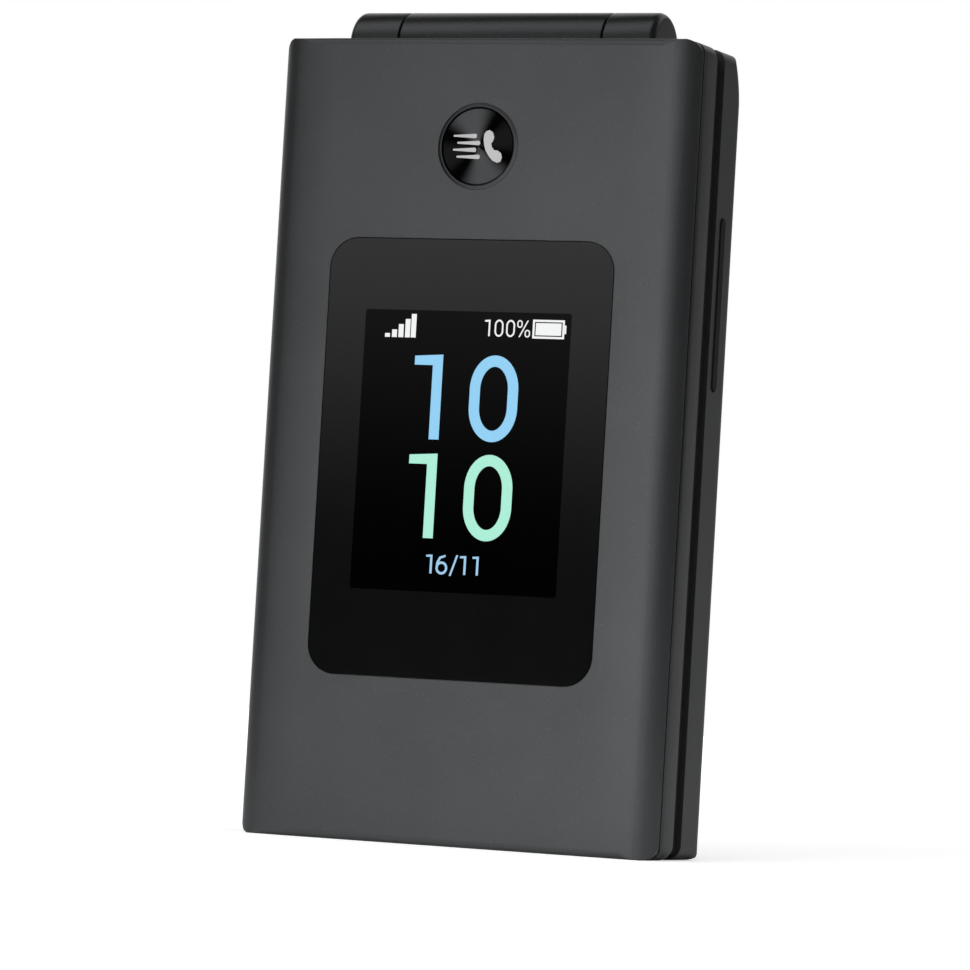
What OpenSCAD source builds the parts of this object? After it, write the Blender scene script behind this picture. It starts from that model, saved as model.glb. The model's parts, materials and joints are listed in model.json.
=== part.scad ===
// Flip phone: a hinged lid with a small outer display, over a base with keys.
// X is the width, -Y the lid's face, +Y the back, +Z runs up its length.
// The origin is the centre of the footprint when the closed phone stands up.

/* [Overall size] */
// Width across the lid's rear shell
body_w = 57; // [55:0.5:60]
// Thickness of the closed phone, from the lid's face to the back
body_t = 18.6; // [18.2:0.1:20]
// Height of the two halves, without the hinge barrel
body_h = 100.7; // [99:0.1:106]
// Corner radius of both halves, seen from the front
corner_r = 1.9; // [1.5:0.1:2.4]

/* [Lid shells] */
// How far the front shell's seam lies in from the rear shell's side
seam_inset = 0.1; // [0:0.05:0.2]
// Depth of the front shell, from its face to its seam
shell_d = 2.8; // [2.6:0.1:3]
// Radius that rolls the face over into its long edges
face_roll_r = 4.8; // [4.2:0.1:5.5]
// Radius along the top and bottom edges of the face
face_edge_r = 1; // [0.6:0.1:1.4]
// Thickness of the face
face_wall = 1.7; // [1.5:0.1:1.9]
// Thickness of the lid's side walls
side_wall = 1.3; // [1:0.1:1.5]
// Width of the groove at the lid's seam
seam_gap = 0.55; // [0.4:0.05:0.7]
// Depth of the groove at the lid's seam
seam_groove = 0.9; // [0.5:0.1:1]
// Depth of the rear shell, from the seam to the bezel
rear_shell_d = 4.7; // [4.4:0.1:5]
// Radius of the rear shell's edge beside the seam
rear_roll_r = 1.6; // [1:0.1:2]
// Depth of the dark bezel round the inner display
bezel_d = 1.28; // [1.1:0.02:1.5]
// How far the bezel and the deck lie in from the sides
bezel_inset = 0.7; // [0.4:0.1:1]
// Gap between the closed halves
half_gap = 0.25; // [0.2:0.05:0.5]
// Depth of the recess inside the bezel's rim
bezel_well = 0.58; // [0.4:0.02:0.6]
// Width of the bezel's raised rim
bezel_rim = 3.2; // [2.5:0.1:3.6]

/* [Outer window and display] */
// Width of the outer window
window_w = 38.5; // [36:0.5:40]
// Height of the outer window
window_h = 54.7; // [50:0.1:57]
// Corner radius of the outer window
window_r = 3.7; // [2:0.1:5]
// Thickness of the outer window
window_t = 1; // [0.8:0.1:1.1]
// Gap around the outer window
window_gap = 0.12; // [0.08:0.02:0.25]
// Width of the ledge that the outer window rests on
window_ledge = 1.5; // [1:0.1:1.8]
// Distance from the round button's centre down to the outer window's centre
window_drop = 39.05; // [37:0.05:41]
// Width of the outer display module
outer_lcd_w = 34.7; // [32:0.1:35]
// Height of the outer display module
outer_lcd_h = 46.7; // [40:0.1:48]
// Thickness of the outer display module
outer_lcd_t = 1.7; // [1.5:0.1:1.8]
// Height of the display module's centre above the window's centre
outer_lcd_rise = 0.95; // [0:0.05:1.5]

/* [Dial button] */
// Radius of the round button on the lid
dial_r = 4.85; // [4:0.05:5.5]
// How far the button's cap lies below the ring's crest
dial_dish = 0.14; // [0.1:0.02:0.3]
// Distance from the button's centre to the lid's top edge
dial_drop = 13.65; // [12:0.05:16]
// Width of the bevelled ring round the button
ring_w = 0.45; // [0.35:0.05:0.7]
// Gap between the button and its ring
dial_gap = 0.1; // [0.05:0.05:0.2]
// How far the ring stands proud of the face
trim_proud = 0.12; // [0.05:0.01:0.2]
// Travel of the round button
dial_travel = 0.45; // [0.3:0.05:0.5]

/* [Inner display] */
// How far the inner display runs past its window at each side
inner_window_lap = 2.5; // [1.5:0.1:3]
// Distance from the lid's lower end to the inner window
inner_window_low = 12; // [10:0.5:14]
// Distance from the lid's upper end to the inner window
inner_window_high = 18.7; // [18:0.1:21]
// Corner radius of the inner window
inner_window_r = 2; // [1:0.5:3]
// Room between the inner display module and the lid's side walls
inner_lcd_room = 2.2; // [1.8:0.1:3]
// How far the inner window runs past its display module above and below
inner_lcd_short = 0.4; // [0:0.1:1]
// Thickness of the inner display module
inner_lcd_t = 2.2; // [1.8:0.1:2.3]
// Thickness of the circuit boards
board_t = 0.8; // [0.6:0.1:1]

/* [Hinge] */
// Radius of the hinge barrel
barrel_r = 4.6; // [4.4:0.1:4.8]
// Length of the whole barrel
barrel_len = 41.8; // [39:0.1:44]
// Length of the barrel's middle, which belongs to the lid
center_len = 27.8; // [26:0.1:29]
// Gap between the barrel's three pieces
knuckle_gap = 0.2; // [0.15:0.05:0.4]
// Running gap between the barrel and the half that turns round it
barrel_gap = 0.35; // [0.3:0.05:0.5]
// Radius that rounds the ends of the barrel
barrel_end_r = 1; // [0.5:0.1:1.5]
// How far the hinge line lies below the top of the two halves
hinge_drop = 0.3; // [0.2:0.05:0.4]
// Radius of the barrel's bore
barrel_bore_r = 3; // [2.7:0.1:3.2]
// Radius of the hinge cartridge's shaft
hinge_shaft_r = 0.95; // [0.8:0.05:1.2]
// Radial clearance of the shaft in the cartridge
shaft_gap = 0.05; // [0.02:0.01:0.1]

/* [Base] */
// How far the base's sides lie in from the lid's
base_inset = 0.2; // [0:0.05:0.4]
// Depth of the deck that holds the keys
deck_d = 1.27; // [1.2:0.01:1.5]
// Depth of the sunken field that the keys stand in
key_well = 0.5; // [0.3:0.05:0.55]
// Wall of the rear housing
housing_wall = 1.2; // [1:0.1:1.4]
// Radius of the long edges of the back
back_roll_r = 3.4; // [3:0.1:4.5]
// Radius of the top and bottom edges of the back
back_edge_r = 2.5; // [1.5:0.1:3]
// Radius of the arc on which the back leans in towards the hinge
back_lean_r = 13.3; // [12:0.1:20]
// Height of that arc
back_lean_h = 7.1; // [6:0.1:7.1]
// Radius of the halves' edges next to the hinge
hinge_edge_r = 0.6; // [0.5:0.05:0.8]

/* [Battery and cover] */
// Distance from the battery's sides to the base's sides
battery_side = 11.3; // [11:0.1:12]
// Distance from the battery's upper end to the top of the base
battery_high = 45.3; // [40:0.1:50]
// Thickness of the battery
battery_t = 4; // [3.6:0.1:4.2]
// Distance from the cover's sides to the base's sides
cover_side = 5.8; // [5.3:0.1:6.5]
// Distance from the cover's upper edge to the top of the base
cover_high = 20.7; // [19.5:0.1:21.5]
// Thickness of the battery cover
cover_t = 1; // [0.8:0.1:1.2]
// Corner radius of the battery cover
cover_r = 3; // [2:0.5:4]
// Gap around the battery cover
cover_gap = 0.12; // [0.1:0.02:0.2]
// Height of the lower edge of the battery cover
cover_z = 5; // [4.5:0.1:5.5]

/* [Keys] */
// How far the key field lies in from the deck's sides
well_inset = 2.1; // [1.8:0.1:2.6]
// Distance from the field's sides to the keys
key_edge = 1.3; // [1:0.1:1.6]
// Distance between the number keys across
key_space = 1.4; // [1.3:0.1:1.8]
// Distance between the rows of number keys
key_row_space = 2; // [1.6:0.1:2.6]
// Height of the number keys' lower end
key_low = 6.8; // [6.4:0.1:7.4]
// Distance between the number keys and the function keys
key_group_gap = 4.5; // [4.4:0.1:5]
// Corner radius of the keys
key_r = 2.4; // [1.5:0.1:3]
// Gap around each key
key_gap = 0.2; // [0.15:0.05:0.25]
// Travel of a key
key_travel = 0.35; // [0.25:0.05:0.4]
// Depth of a key's flange
key_flange_t = 0.35; // [0.3:0.05:0.4]
// Width of the flange that holds a key under the deck
key_flange = 0.45; // [0.4:0.05:0.5]
// Height of a function key
side_key_h = 9.8; // [9:0.1:10.4]
// Distance between the function keys and the navigation rocker
nav_space = 0.9; // [0.9:0.05:1.2]
// Radius of the navigation rocker
nav_r = 11.2; // [10.5:0.1:11.4]
// Radius of the confirm key
ok_r = 5; // [4:0.1:5.5]
// Distance from the navigation rocker's centre to the top of the base
nav_drop = 34.3; // [34:0.1:34.6]
// Distance of the function keys above and below that centre
side_key_rise = 6.6; // [6.4:0.1:6.8]

/* [Volume rocker] */
// Length of the volume rocker
rocker_len = 21.5; // [18:0.5:24]
// Width of the volume rocker
rocker_w = 1.35; // [1.2:0.05:2]
// Distance from the volume rocker's centre to the top of the base
rocker_drop = 31.7; // [28:0.1:36]
// How far the rocker's centre lies behind the front of the rear housing
rocker_back = 2.2; // [1.8:0.1:3]
// How far the rocker stands out of the side
rocker_proud = 0.15; // [0.05:0.05:0.2]

/* [Sockets] */
// Radius of the headset socket's bore
jack_r = 1.8; // [1.76:0.02:1.86]
// Length of the headset socket's bore
jack_len = 14; // [13:0.5:15]
// Distance from the headset socket to the top of the base
jack_drop = 19; // [18.8:0.05:19.2]
// Width of the charging socket's mouth
usb_w = 8.94; // [8.9:0.02:9]
// Height of the charging socket's mouth
usb_h = 3.16; // [3.1:0.02:3.2]
// Length of the charging socket
usb_len = 7.3; // [6.5:0.1:7.5]

/* [Screws] */
// Radius of a screw's shank
screw_r = 0.7; // [0.6:0.05:0.8]
// Radius of a screw's head
screw_head_r = 1.4; // [1.2:0.05:1.5]
// Thickness of a screw's head
screw_head_t = 0.6; // [0.5:0.05:0.8]

/* [Hidden] */
$fn = 96;

// Small fits, used throughout
fit = 0.05;         // between pieces of one body that rest on each other
cut = 1;            // how far a cutting shape runs past what it cuts

// Depths, from the lid's face to the back
front_y = -body_t / 2;
back_y = body_t / 2;
seam_y = front_y + shell_d;
bezel_y = seam_y + rear_shell_d;
rim_y = bezel_y + bezel_d;
deck_y = rim_y + half_gap;
housing_y = deck_y + deck_d;

// Hinge line
hinge_y = (rim_y + deck_y) / 2;
hinge_z = body_h - hinge_drop;
center_half = center_len / 2;
barrel_half = barrel_len / 2;
seat_r = barrel_r + fit;
sweep_r = barrel_r + barrel_gap;
wing_drop = 1.2;        // how far the bezel and the deck end below the hinge line
wing_top = hinge_z - wing_drop;
foot_low = 13.7;        // from the top of the halves down to the feet's ends
foot_high = 2.5;        // from the hinge line down to the feet's roots
foot_z = [body_h - foot_low, hinge_z - foot_high];
foot_t = 2.2;
center_foot_inset = 1.5;
end_foot_inset = [1, 0.5];
knuckle_end = 1.2;      // wall at the closed end of an outer knuckle
end_x = [center_half + knuckle_gap / 2, barrel_half - knuckle_end - fit];
cartridge_x = 2;        // inner end of the hinge cartridge
shaft_bore_x = 5;       // where the cartridge's bore ends
shaft_x = 7;            // where the cam head's shaft ends
pin_reach = 5;          // how far the hollow pin runs into the middle
pin_gap = 0.08;
pin_bore_r = 1.5;

// Lid
seam_w = body_w - 2 * seam_inset;
roll_angle = acos(1 - shell_d / face_roll_r);
roll_x = seam_w / 2 - face_roll_r * sin(roll_angle);
rear_roll_angle = 62;
rear_roll_y = seam_y + seam_gap + rear_roll_r * cos(rear_roll_angle);
bezel_w = body_w - 2 * bezel_inset;
bezel_plate_y = rim_y - bezel_well;
face_inner_y = front_y + face_wall;
cavity_inset = 2.6;
lcd_r = 0.6;
well_r = 3;
bezel_well_drop = 12;
bezel_well_z = [bezel_inset + bezel_rim, body_h - bezel_well_drop];
dial_z = body_h - dial_drop;
window_z = dial_z - window_drop;
inner_window_h = body_h - inner_window_low - inner_window_high;
inner_window_z = inner_window_low + inner_window_h / 2;
inner_lcd_h = inner_window_h - 2 * inner_lcd_short;
ring_in_r = dial_r + dial_gap;
ring_out_r = ring_in_r + ring_w;
ring_foot = 0.4;        // how far the ring reaches past the face's wall
ring_depth = face_wall + ring_foot;
dial_flange = 0.5;
dial_flange_r = ring_in_r + dial_flange;
dial_flange_t = 0.4;
dial_flange_y = front_y + ring_depth + fit;
dial_top_y = front_y - trim_proud + dial_dish;
dial_cone = 0.08;       // how much deeper the button's middle is than its edge
dial_bevel = [0.15, 0.12];
outer_lcd_y = front_y + window_t + fit;
aperture_w = window_w - 2 * window_ledge;
aperture_h = window_h - 2 * window_ledge;
press_gap = 0.1;        // left behind a button at the end of its travel
lid_board_y = dial_flange_y + dial_flange_t + dial_travel + press_gap;
lid_board_room = 2.8;
lid_board_w = seam_w - 2 * cavity_inset - 2 * lid_board_room;
lid_board_drop = 9.2;
lid_board_z = [22, body_h - lid_board_drop];
lid_board_r = 1;
lid_chips = [[-11, 30, 9, 9], [9, 34, 12, 7]];  // middle in X, lowest Z, width, height
chip_t = 0.6;
post_r = 1.2;
post_gap = 0.1;
post_x = window_w / 2 + window_gap + post_r + post_gap;
post_drop = 23;
post_z = window_z - post_drop;
inner_lcd_y = bezel_y - fit - inner_lcd_t;
inner_lcd_w = body_w - 2 * side_wall - 2 * inner_lcd_room;
inner_window_w = inner_lcd_w - 2 * inner_window_lap;
lid_boss_r = 1.9;
boss_gap = 0.2;
lid_collar = 1;
lid_collar_r = lid_boss_r + lid_collar;
lid_screw_side = 5;
lid_screw_x = body_w / 2 - lid_screw_side;
lid_screw_rise = 4.4;   // from the inner window's upper edge to the upper screws
lid_screw_z = [5.6, inner_window_z + inner_window_h / 2 + lid_screw_rise];
lid_screw_len = 4.2;
ear_z = 6.4;
ear_slot = [10, 1.5];
ear = [12, 2.6, 6];
ear_r = 2;
mesh_pitch = 0.8;
mesh_r = 0.22;
mesh_side = 5;          // holes at each side of the middle one
mesh_sink = 0.1;
magnet = [6, 1.5, 3];
magnet_x = -14;
magnet_z = 3.6;
bumper = [5, 1.5];
bumper_x = 12;
bumper_z = 2.3;
bumper_sink = 0.4;

// Flex cable between the halves
flex_t = 0.2;
flex_w = 6;
flex_x = -5;
flex_roll_r = 1.1;
flex_gap = 0.2;
flex_stop = 2;          // how far inside the barrel's end the roll stops
flex_y = bezel_y - foot_t - 2 * flex_gap;
flex_plug_side = 1;
flex_plug = [flex_w + 2 * flex_plug_side, flex_y - flex_t / 2 - lid_board_y - board_t, 3];
flex_end_z = lid_board_z[1] - flex_plug[2];

// Base
base_w = body_w - 2 * base_inset;
deck_w = base_w - 2 * bezel_inset;
well_y = deck_y + key_well;
well_w = deck_w - 2 * well_inset;
well_low = 5;
well_high = 20.7;
well_z = [well_low, body_h - well_high];
key_proud = 0.1;        // how far the keys stand out of the deck
key_top_y = deck_y - key_proud;
key_flange_y = housing_y + fit;
dome_y = key_flange_y + key_flange_t + key_travel + fit;
dome_t = 0.15;
board_y = dome_y + dome_t;
board_side = 3.8;       // from the base's sides to the board's
board_w = base_w - 2 * board_side;
board_drop = 15.2;
board_z = [5, body_h - board_drop];
board_back_y = board_y + board_t;
board_r = 1.5;
dome_r = 2;
base_chips = [[-8, 20, 14, 22], [9, 44, 12, 12]];
cavity_y = back_y - housing_wall;
back_lean_z = body_h - back_lean_h;
back_lean_in = back_lean_r - sqrt(pow(back_lean_r, 2) - pow(back_lean_h - back_edge_r, 2));
cover_y = back_y - cover_t;
barrel_rib = 1;         // wall round the space of the lid's knuckle
cover_ledge = 2;
loose = 0.1;            // between pieces of the base that only lie beside each other
battery_w = base_w - 2 * battery_side;
battery_room = 0.4;
battery_r = 0.8;
contact_block = [9, 3.2, 3];
sim_size = [16, 1.3, 8.8];
sim_wall = [2, 0.3, 0.6];
rib = [6, 1.2, 0.7];
rib_x = 6;
bay_floor_z = 9;
battery_z = bay_floor_z + battery_room;
battery_h = body_h - battery_high - battery_z;
contact_z = battery_z + battery_h + loose;
sim_z = contact_z + contact_block[2] + loose;
rib_z = sim_z + sim_size[2] + loose;
bay_w = battery_w + 2 * battery_room;
bay_z = [bay_floor_z, rib_z + rib[2] + loose];
battery_y = cover_y - loose - battery_t;
floor_y = battery_y - loose;
floor_t = 0.6;
base_chip_t = floor_y - floor_t - board_back_y - loose;
notch_r = 4;
notch_t = 0.6;

// Screws that hold the deck to the rear housing, and their bosses
base_boss_r = 2.1;
side_screw_in = 1.9;    // from the cover's sides to the lower screws
top_screw_x = 9.5;
top_screw_rise = 10.8;  // from the navigation rocker's centre to the upper screws
nav_z = body_h - nav_drop;
side_key_low_z = nav_z - side_key_rise - side_key_h / 2;
key_top_row_z = side_key_low_z - key_group_gap;
cover_w = base_w - 2 * cover_side;
cover_h = body_h - cover_z - cover_high;
base_screws = [
    for (s = [-1, 1]) [s * (cover_w / 2 - side_screw_in), (key_top_row_z + side_key_low_z) / 2],
    for (s = [-1, 1]) [s * top_screw_x, nav_z + top_screw_rise]
];
boss_step = 0.3;
head_sink = 0.3;
base_head_y = cover_y - head_sink;
hole_end = 0.3;         // how far behind the deck's back the screw holes end
tip_gap = 0.1;
screw_hole_y = housing_y + hole_end;
screw_tip_y = screw_hole_y + tip_gap;

// Sockets
jack_z = body_h - jack_drop;
socket_rise = 0.5;      // how far the sockets lie in front of the housing's middle
socket_y = (housing_y + back_y) / 2 - socket_rise;
jack_sink = 0.1;
jack_x = jack_sink - base_w / 2;
jack_body_in = 2.15;
jack_body_x = jack_body_in - base_w / 2;
jack_end = 0.8;
jack_body = [jack_x + jack_len + jack_end - jack_body_x, 4.8];
jack_wall = 0.7;
jack_collar_r = jack_r + jack_wall;
jack_room = 0.2;
jack_notch = [jack_body_x + jack_body[0] + base_w / 2 + jack_room, jack_body[1] + 2 * jack_room];
usb_wall = 0.3;
usb_z = 0.3;
usb_end = 0.8;
tongue = [6.7, 0.7, 4.9];
pad = [3.4, 1.5, 1.5];
pad_x = 12;
pad_recess = 0.15;
mic = [3.8, 1.2, 3];
mic_x = 18.5;
mic_port_r = 0.5;
camera = [8, 3.4, 8];
camera_drop = 0.3;
lens_gap = 0.6;
camera_x = -4.4;
camera_from_top = 12.2;
camera_z = body_h - camera_from_top;
camera_window_size = [19.4, 9.4];
camera_window_t = 1;
lens_r = 3.3;
speaker = [13, 3, 10];
speaker_r = 1.5;
speaker_side = 3.8;
speaker_x = base_w / 2 - speaker_side - speaker[0] / 2;
slot_shift = 1;
slot_x = speaker_x - slot_shift;
slot_size = [9, 0.9];
slot_pitch = 1.9;
slot_count = 4;
motor_r = 4;
motor_t = 2.7;
motor_x = 4.5;
motor_edge = 0.2;
motor_z = board_z[1] - motor_r - motor_edge;
antenna_size = [0.2, 3.8, 38];
antenna_z = 24;
antenna_rise = 0.3;
antenna_y = housing_y + antenna_rise;
rocker_y = housing_y + rocker_back;
rocker_z = body_h - rocker_drop;
rocker_gap = 0.12;
rocker_lip = [0.6, 0.5, 0.8];
rocker_flange = [rocker_lip[0], rocker_w + 2 * rocker_lip[1], rocker_len + 2 * rocker_lip[2]];
rocker_swing = 0.35;

// Keys: rows of number keys and pairs of function keys
key_w = (well_w - 2 * key_edge - 2 * key_space) / 3;
key_h = (key_top_row_z - key_low - 3 * key_row_space) / 4;
key_pitch_x = key_w + key_space;
key_pitch_z = key_h + key_row_space;
side_key_w = well_w / 2 - key_edge - nav_r - nav_space;
side_key_x = nav_r + nav_space + side_key_w / 2;
function key_x(column) = (column - 1) * key_pitch_x;
function key_z(row) = key_low + key_h / 2 + row * key_pitch_z;
side_key_z = [nav_z - side_key_rise, nav_z + side_key_rise];
ok_gap = 0.4;
nav_in_r = ok_r + ok_gap;
ok_flange = 0.8;
nav_lift = 0.25;        // how far the rocker's plate ends in front of the housing
nav_bottom_y = housing_y - nav_lift;
nav_tab = [3, 0.3, 2];
nav_leg_in = 0.9;
nav_leg_x = nav_r - nav_leg_in;
nav_tab_out = 0.3;
nav_tab_x = nav_leg_x + nav_tab_out;
nav_leg = [1.6, key_flange_y + key_flange_t - nav_bottom_y, 2];

// ---- helpers ----

// A drawing in X and Z, given depth from y0 to y1
module slab(y0, y1) {
    translate([0, y1, 0]) rotate([90, 0, 0]) linear_extrude(height = y1 - y0) children();
}

// A drawing in Y and Z, given width from x0 to x1
module beam(x0, x1) {
    translate([x0, 0, 0]) rotate([90, 0, 90]) linear_extrude(height = x1 - x0) children();
}

// A drawing in X and Y, given height from z0 to z1
module tower(z0, z1) {
    translate([0, 0, z0]) linear_extrude(height = z1 - z0) children();
}

module rod_x(x0, x1, y, z, r) {
    translate([x0, y, z]) rotate([0, 90, 0]) cylinder(h = x1 - x0, r = r);
}

module rod_y(y0, y1, x, z, r) {
    translate([x, y1, z]) rotate([90, 0, 0]) cylinder(h = y1 - y0, r = r);
}

module rod_z(z0, z1, x, y, r) {
    translate([x, y, z0]) cylinder(h = z1 - z0, r = r);
}

// A box from its middle in X and its lowest Y and Z
module block(x, y, z, size) {
    translate([x - size[0] / 2, y, z]) cube(size);
}

// A rectangle with true round corners, about its centre
module round_rect(w, h, r) {
    square([w - 2 * r, h], center = true);
    square([w, h - 2 * r], center = true);
    for (sx = [-1, 1], sz = [-1, 1])
        translate([sx * (w / 2 - r), sz * (h / 2 - r)]) circle(r = r);
}

// The outline of a half, seen from the front, drawn in by an inset
module outline(w, r, inset = 0) {
    translate([0, body_h / 2]) round_rect(w - 2 * inset, body_h - 2 * inset, max(r - inset, 0.5));
}

// A round-ended bar along X
module pill(w, h) {
    square([w - h, h], center = true);
    for (s = [-1, 1]) translate([s * (w - h) / 2, 0]) circle(d = h);
}

// The space of the barrel between two distances from the middle, on both sides
module barrel_space(x0, x1, r) {
    for (s = [-1, 1])
        rod_x(s > 0 ? x0 : -x1, s > 0 ? x1 : -x0, hinge_y, hinge_z, r);
}

// What the lid's pieces leave free: the base's knuckles, and a seat for its own
module lid_barrel_cut() {
    barrel_space(center_half - knuckle_gap, barrel_half + barrel_gap, sweep_r);
    rod_x(-center_half, center_half, hinge_y, hinge_z, seat_r);
}

// What the base's pieces leave free: the lid's knuckle, and seats for its own
module base_barrel_cut() {
    rod_x(-center_half - knuckle_gap, center_half + knuckle_gap, hinge_y, hinge_z, sweep_r);
    barrel_space(center_half, barrel_half + fit, seat_r);
}

// ---- lid ----

// Cross-section of the front shell: a flat face that rolls over at both sides
module face_section() {
    intersection() {
        union() {
            for (s = [-1, 1])
                translate([s * roll_x, front_y + face_roll_r]) circle(r = face_roll_r);
            translate([-roll_x, front_y]) square([2 * roll_x, 2 * face_roll_r]);
        }
        translate([-seam_w / 2, front_y]) square([seam_w, shell_d]);
    }
}

// Side view of the front shell, with its upper and lower edges rounded
module face_side() {
    translate([front_y + face_edge_r, 0]) square([shell_d - face_edge_r, body_h]);
    translate([front_y, face_edge_r]) square([shell_d, body_h - 2 * face_edge_r]);
    for (z = [face_edge_r, body_h - face_edge_r])
        translate([front_y + face_edge_r, z]) circle(r = face_edge_r);
}

module lid_front_shell() {
    color([0.32, 0.33, 0.35]) difference() {
        union() {
            difference() {
                intersection() {
                    tower(0, body_h) face_section();
                    slab(front_y, seam_y) outline(seam_w, corner_r);
                    beam(-seam_w / 2, seam_w / 2) face_side();
                }
                slab(face_inner_y, seam_y + cut) outline(seam_w, corner_r, cavity_inset);
            }
            for (s = [-1, 1], z = lid_screw_z)
                rod_y(face_inner_y - fit, bezel_y - fit, s * lid_screw_x, z, lid_boss_r);
            for (s = [-1, 1]) {
                rod_y(face_inner_y - fit, lid_board_y, s * lid_screw_x, lid_screw_z[1], lid_collar_r);
                rod_y(face_inner_y - fit, lid_board_y, s * post_x, post_z, post_r);
            }
        }
        slab(front_y - cut, front_y + window_t + fit) translate([0, window_z])
            round_rect(window_w + 2 * window_gap, window_h + 2 * window_gap, window_r + window_gap);
        slab(front_y - cut, seam_y) translate([0, window_z])
            round_rect(aperture_w, aperture_h, window_r - window_ledge);
        rod_y(front_y - cut, seam_y, 0, dial_z, ring_out_r + fit);
        for (s = [-1, 1], z = lid_screw_z)
            rod_y(rim_y - screw_head_t - lid_screw_len - fit, bezel_y, s * lid_screw_x, z, screw_r + fit);
    }
}

// Cross-section of the rear shell, whose front edges turn in at the seam
module rear_shell_section() {
    intersection() {
        union() {
            for (s = [-1, 1])
                translate([s * (body_w / 2 - rear_roll_r), rear_roll_y]) circle(r = rear_roll_r);
            translate([rear_roll_r - body_w / 2, rear_roll_y - rear_roll_r])
                square([body_w - 2 * rear_roll_r, 2 * rear_roll_r]);
            translate([-body_w / 2, rear_roll_y]) square([body_w, bezel_y - rear_roll_y]);
        }
        translate([-body_w / 2, seam_y + seam_gap])
            square([body_w, bezel_y - seam_y - seam_gap]);
    }
}

// Side view of the rear shell, rounded where it passes the base as it opens
module rear_shell_side() {
    translate([seam_y, 0]) square([rear_shell_d - hinge_edge_r, body_h]);
    translate([seam_y, 0]) square([rear_shell_d, body_h - hinge_edge_r]);
    translate([bezel_y - hinge_edge_r, body_h - hinge_edge_r]) circle(r = hinge_edge_r);
}

module lid_rear_shell() {
    color([0.22, 0.23, 0.24]) difference() {
        union() {
            intersection() {
                tower(0, body_h) rear_shell_section();
                slab(seam_y, bezel_y) outline(body_w, corner_r);
                beam(-body_w / 2, body_w / 2) rear_shell_side();
            }
            slab(seam_y, seam_y + seam_gap + fit) outline(seam_w, corner_r, seam_groove);
        }
        slab(seam_y - cut, bezel_y + cut) outline(body_w, corner_r, side_wall);
        lid_barrel_cut();
    }
}

module lid_bezel() {
    color([0.07, 0.07, 0.075]) difference() {
        slab(bezel_y, rim_y) intersection() {
            outline(bezel_w, corner_r, 0);
            translate([-bezel_w / 2, bezel_inset])
                square([bezel_w, wing_top - bezel_inset]);
        }
        slab(bezel_plate_y, rim_y + cut) translate([0, (bezel_well_z[0] + bezel_well_z[1]) / 2])
            round_rect(bezel_w - 2 * bezel_rim, bezel_well_z[1] - bezel_well_z[0], well_r);
        slab(bezel_y - cut, rim_y + cut) translate([0, inner_window_z])
            round_rect(inner_window_w + 2 * window_gap, inner_window_h + 2 * window_gap,
                inner_window_r + window_gap);
        slab(bezel_y - cut, rim_y + cut) translate([0, ear_z])
            pill(ear_slot[0] + 2 * fit, ear_slot[1] + 2 * fit);
        for (s = [-1, 1], z = lid_screw_z) {
            rod_y(bezel_y - cut, rim_y + cut, s * lid_screw_x, z, screw_r + fit);
            rod_y(rim_y - screw_head_t, rim_y + cut, s * lid_screw_x, z, screw_head_r + fit);
        }
        for (s = [-1, 1])
            slab(rim_y - bumper_sink, rim_y + cut) translate([s * bumper_x, bumper_z])
                pill(bumper[0] + 2 * fit, bumper[1] + 2 * fit);
        lid_barrel_cut();
    }
}

module outer_window() {
    color([0.05, 0.05, 0.055]) slab(front_y, front_y + window_t) translate([0, window_z])
        round_rect(window_w, window_h, window_r);
}

module outer_display() {
    color([0.02, 0.02, 0.03]) slab(outer_lcd_y, outer_lcd_y + outer_lcd_t)
        translate([0, window_z + outer_lcd_rise]) round_rect(outer_lcd_w, outer_lcd_h, lcd_r);
}

// A thin ring, bevelled outwards, round the button
module dial_ring() {
    color([0.4, 0.4, 0.42]) translate([0, front_y, dial_z]) rotate([-90, 0, 0]) rotate_extrude()
        polygon([
            [ring_in_r, -trim_proud],
            [ring_in_r + ring_w * 0.3, -trim_proud],
            [ring_out_r, 0],
            [ring_out_r, ring_depth],
            [ring_in_r, ring_depth]
        ]);
}

// Cap with a shallow cone on its face, and a flange that the ring holds
module dial_button() {
    color([0.04, 0.04, 0.045]) translate([0, front_y, dial_z]) rotate([-90, 0, 0]) rotate_extrude()
        polygon([
            [0, dial_top_y - front_y + dial_cone],
            [dial_r - dial_bevel[0], dial_top_y - front_y],
            [dial_r, dial_top_y - front_y + dial_bevel[1]],
            [dial_r, ring_depth + fit],
            [dial_flange_r, ring_depth + fit],
            [dial_flange_r, ring_depth + fit + dial_flange_t],
            [0, ring_depth + fit + dial_flange_t]
        ]);
}

module lid_board() {
    color([0.05, 0.25, 0.15]) difference() {
        union() {
            slab(lid_board_y, lid_board_y + board_t) translate([0, (lid_board_z[0] + lid_board_z[1]) / 2])
                round_rect(lid_board_w, lid_board_z[1] - lid_board_z[0], lid_board_r);
            for (c = lid_chips) block(c[0], lid_board_y + board_t, c[1], [c[2], chip_t, c[3]]);
            block(flex_x, lid_board_y + board_t, flex_end_z - flex_plug[2] / 3, flex_plug);
        }
        for (s = [-1, 1], z = lid_screw_z)
            rod_y(lid_board_y - cut, lid_board_y + board_t + cut, s * lid_screw_x, z, lid_boss_r + boss_gap);
    }
}

module inner_display() {
    color([0.03, 0.03, 0.05]) slab(inner_lcd_y, inner_lcd_y + inner_lcd_t)
        translate([0, inner_window_z]) round_rect(inner_lcd_w, inner_lcd_h, lcd_r);
}

module inner_window() {
    color([0.02, 0.02, 0.025]) slab(bezel_y, bezel_plate_y) translate([0, inner_window_z])
        round_rect(inner_window_w, inner_window_h, inner_window_r);
}

module earpiece() {
    color([0.5, 0.5, 0.5]) slab(bezel_y - fit - ear[1], bezel_y - fit) translate([0, ear_z])
        round_rect(ear[0], ear[2], ear_r);
}

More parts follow.
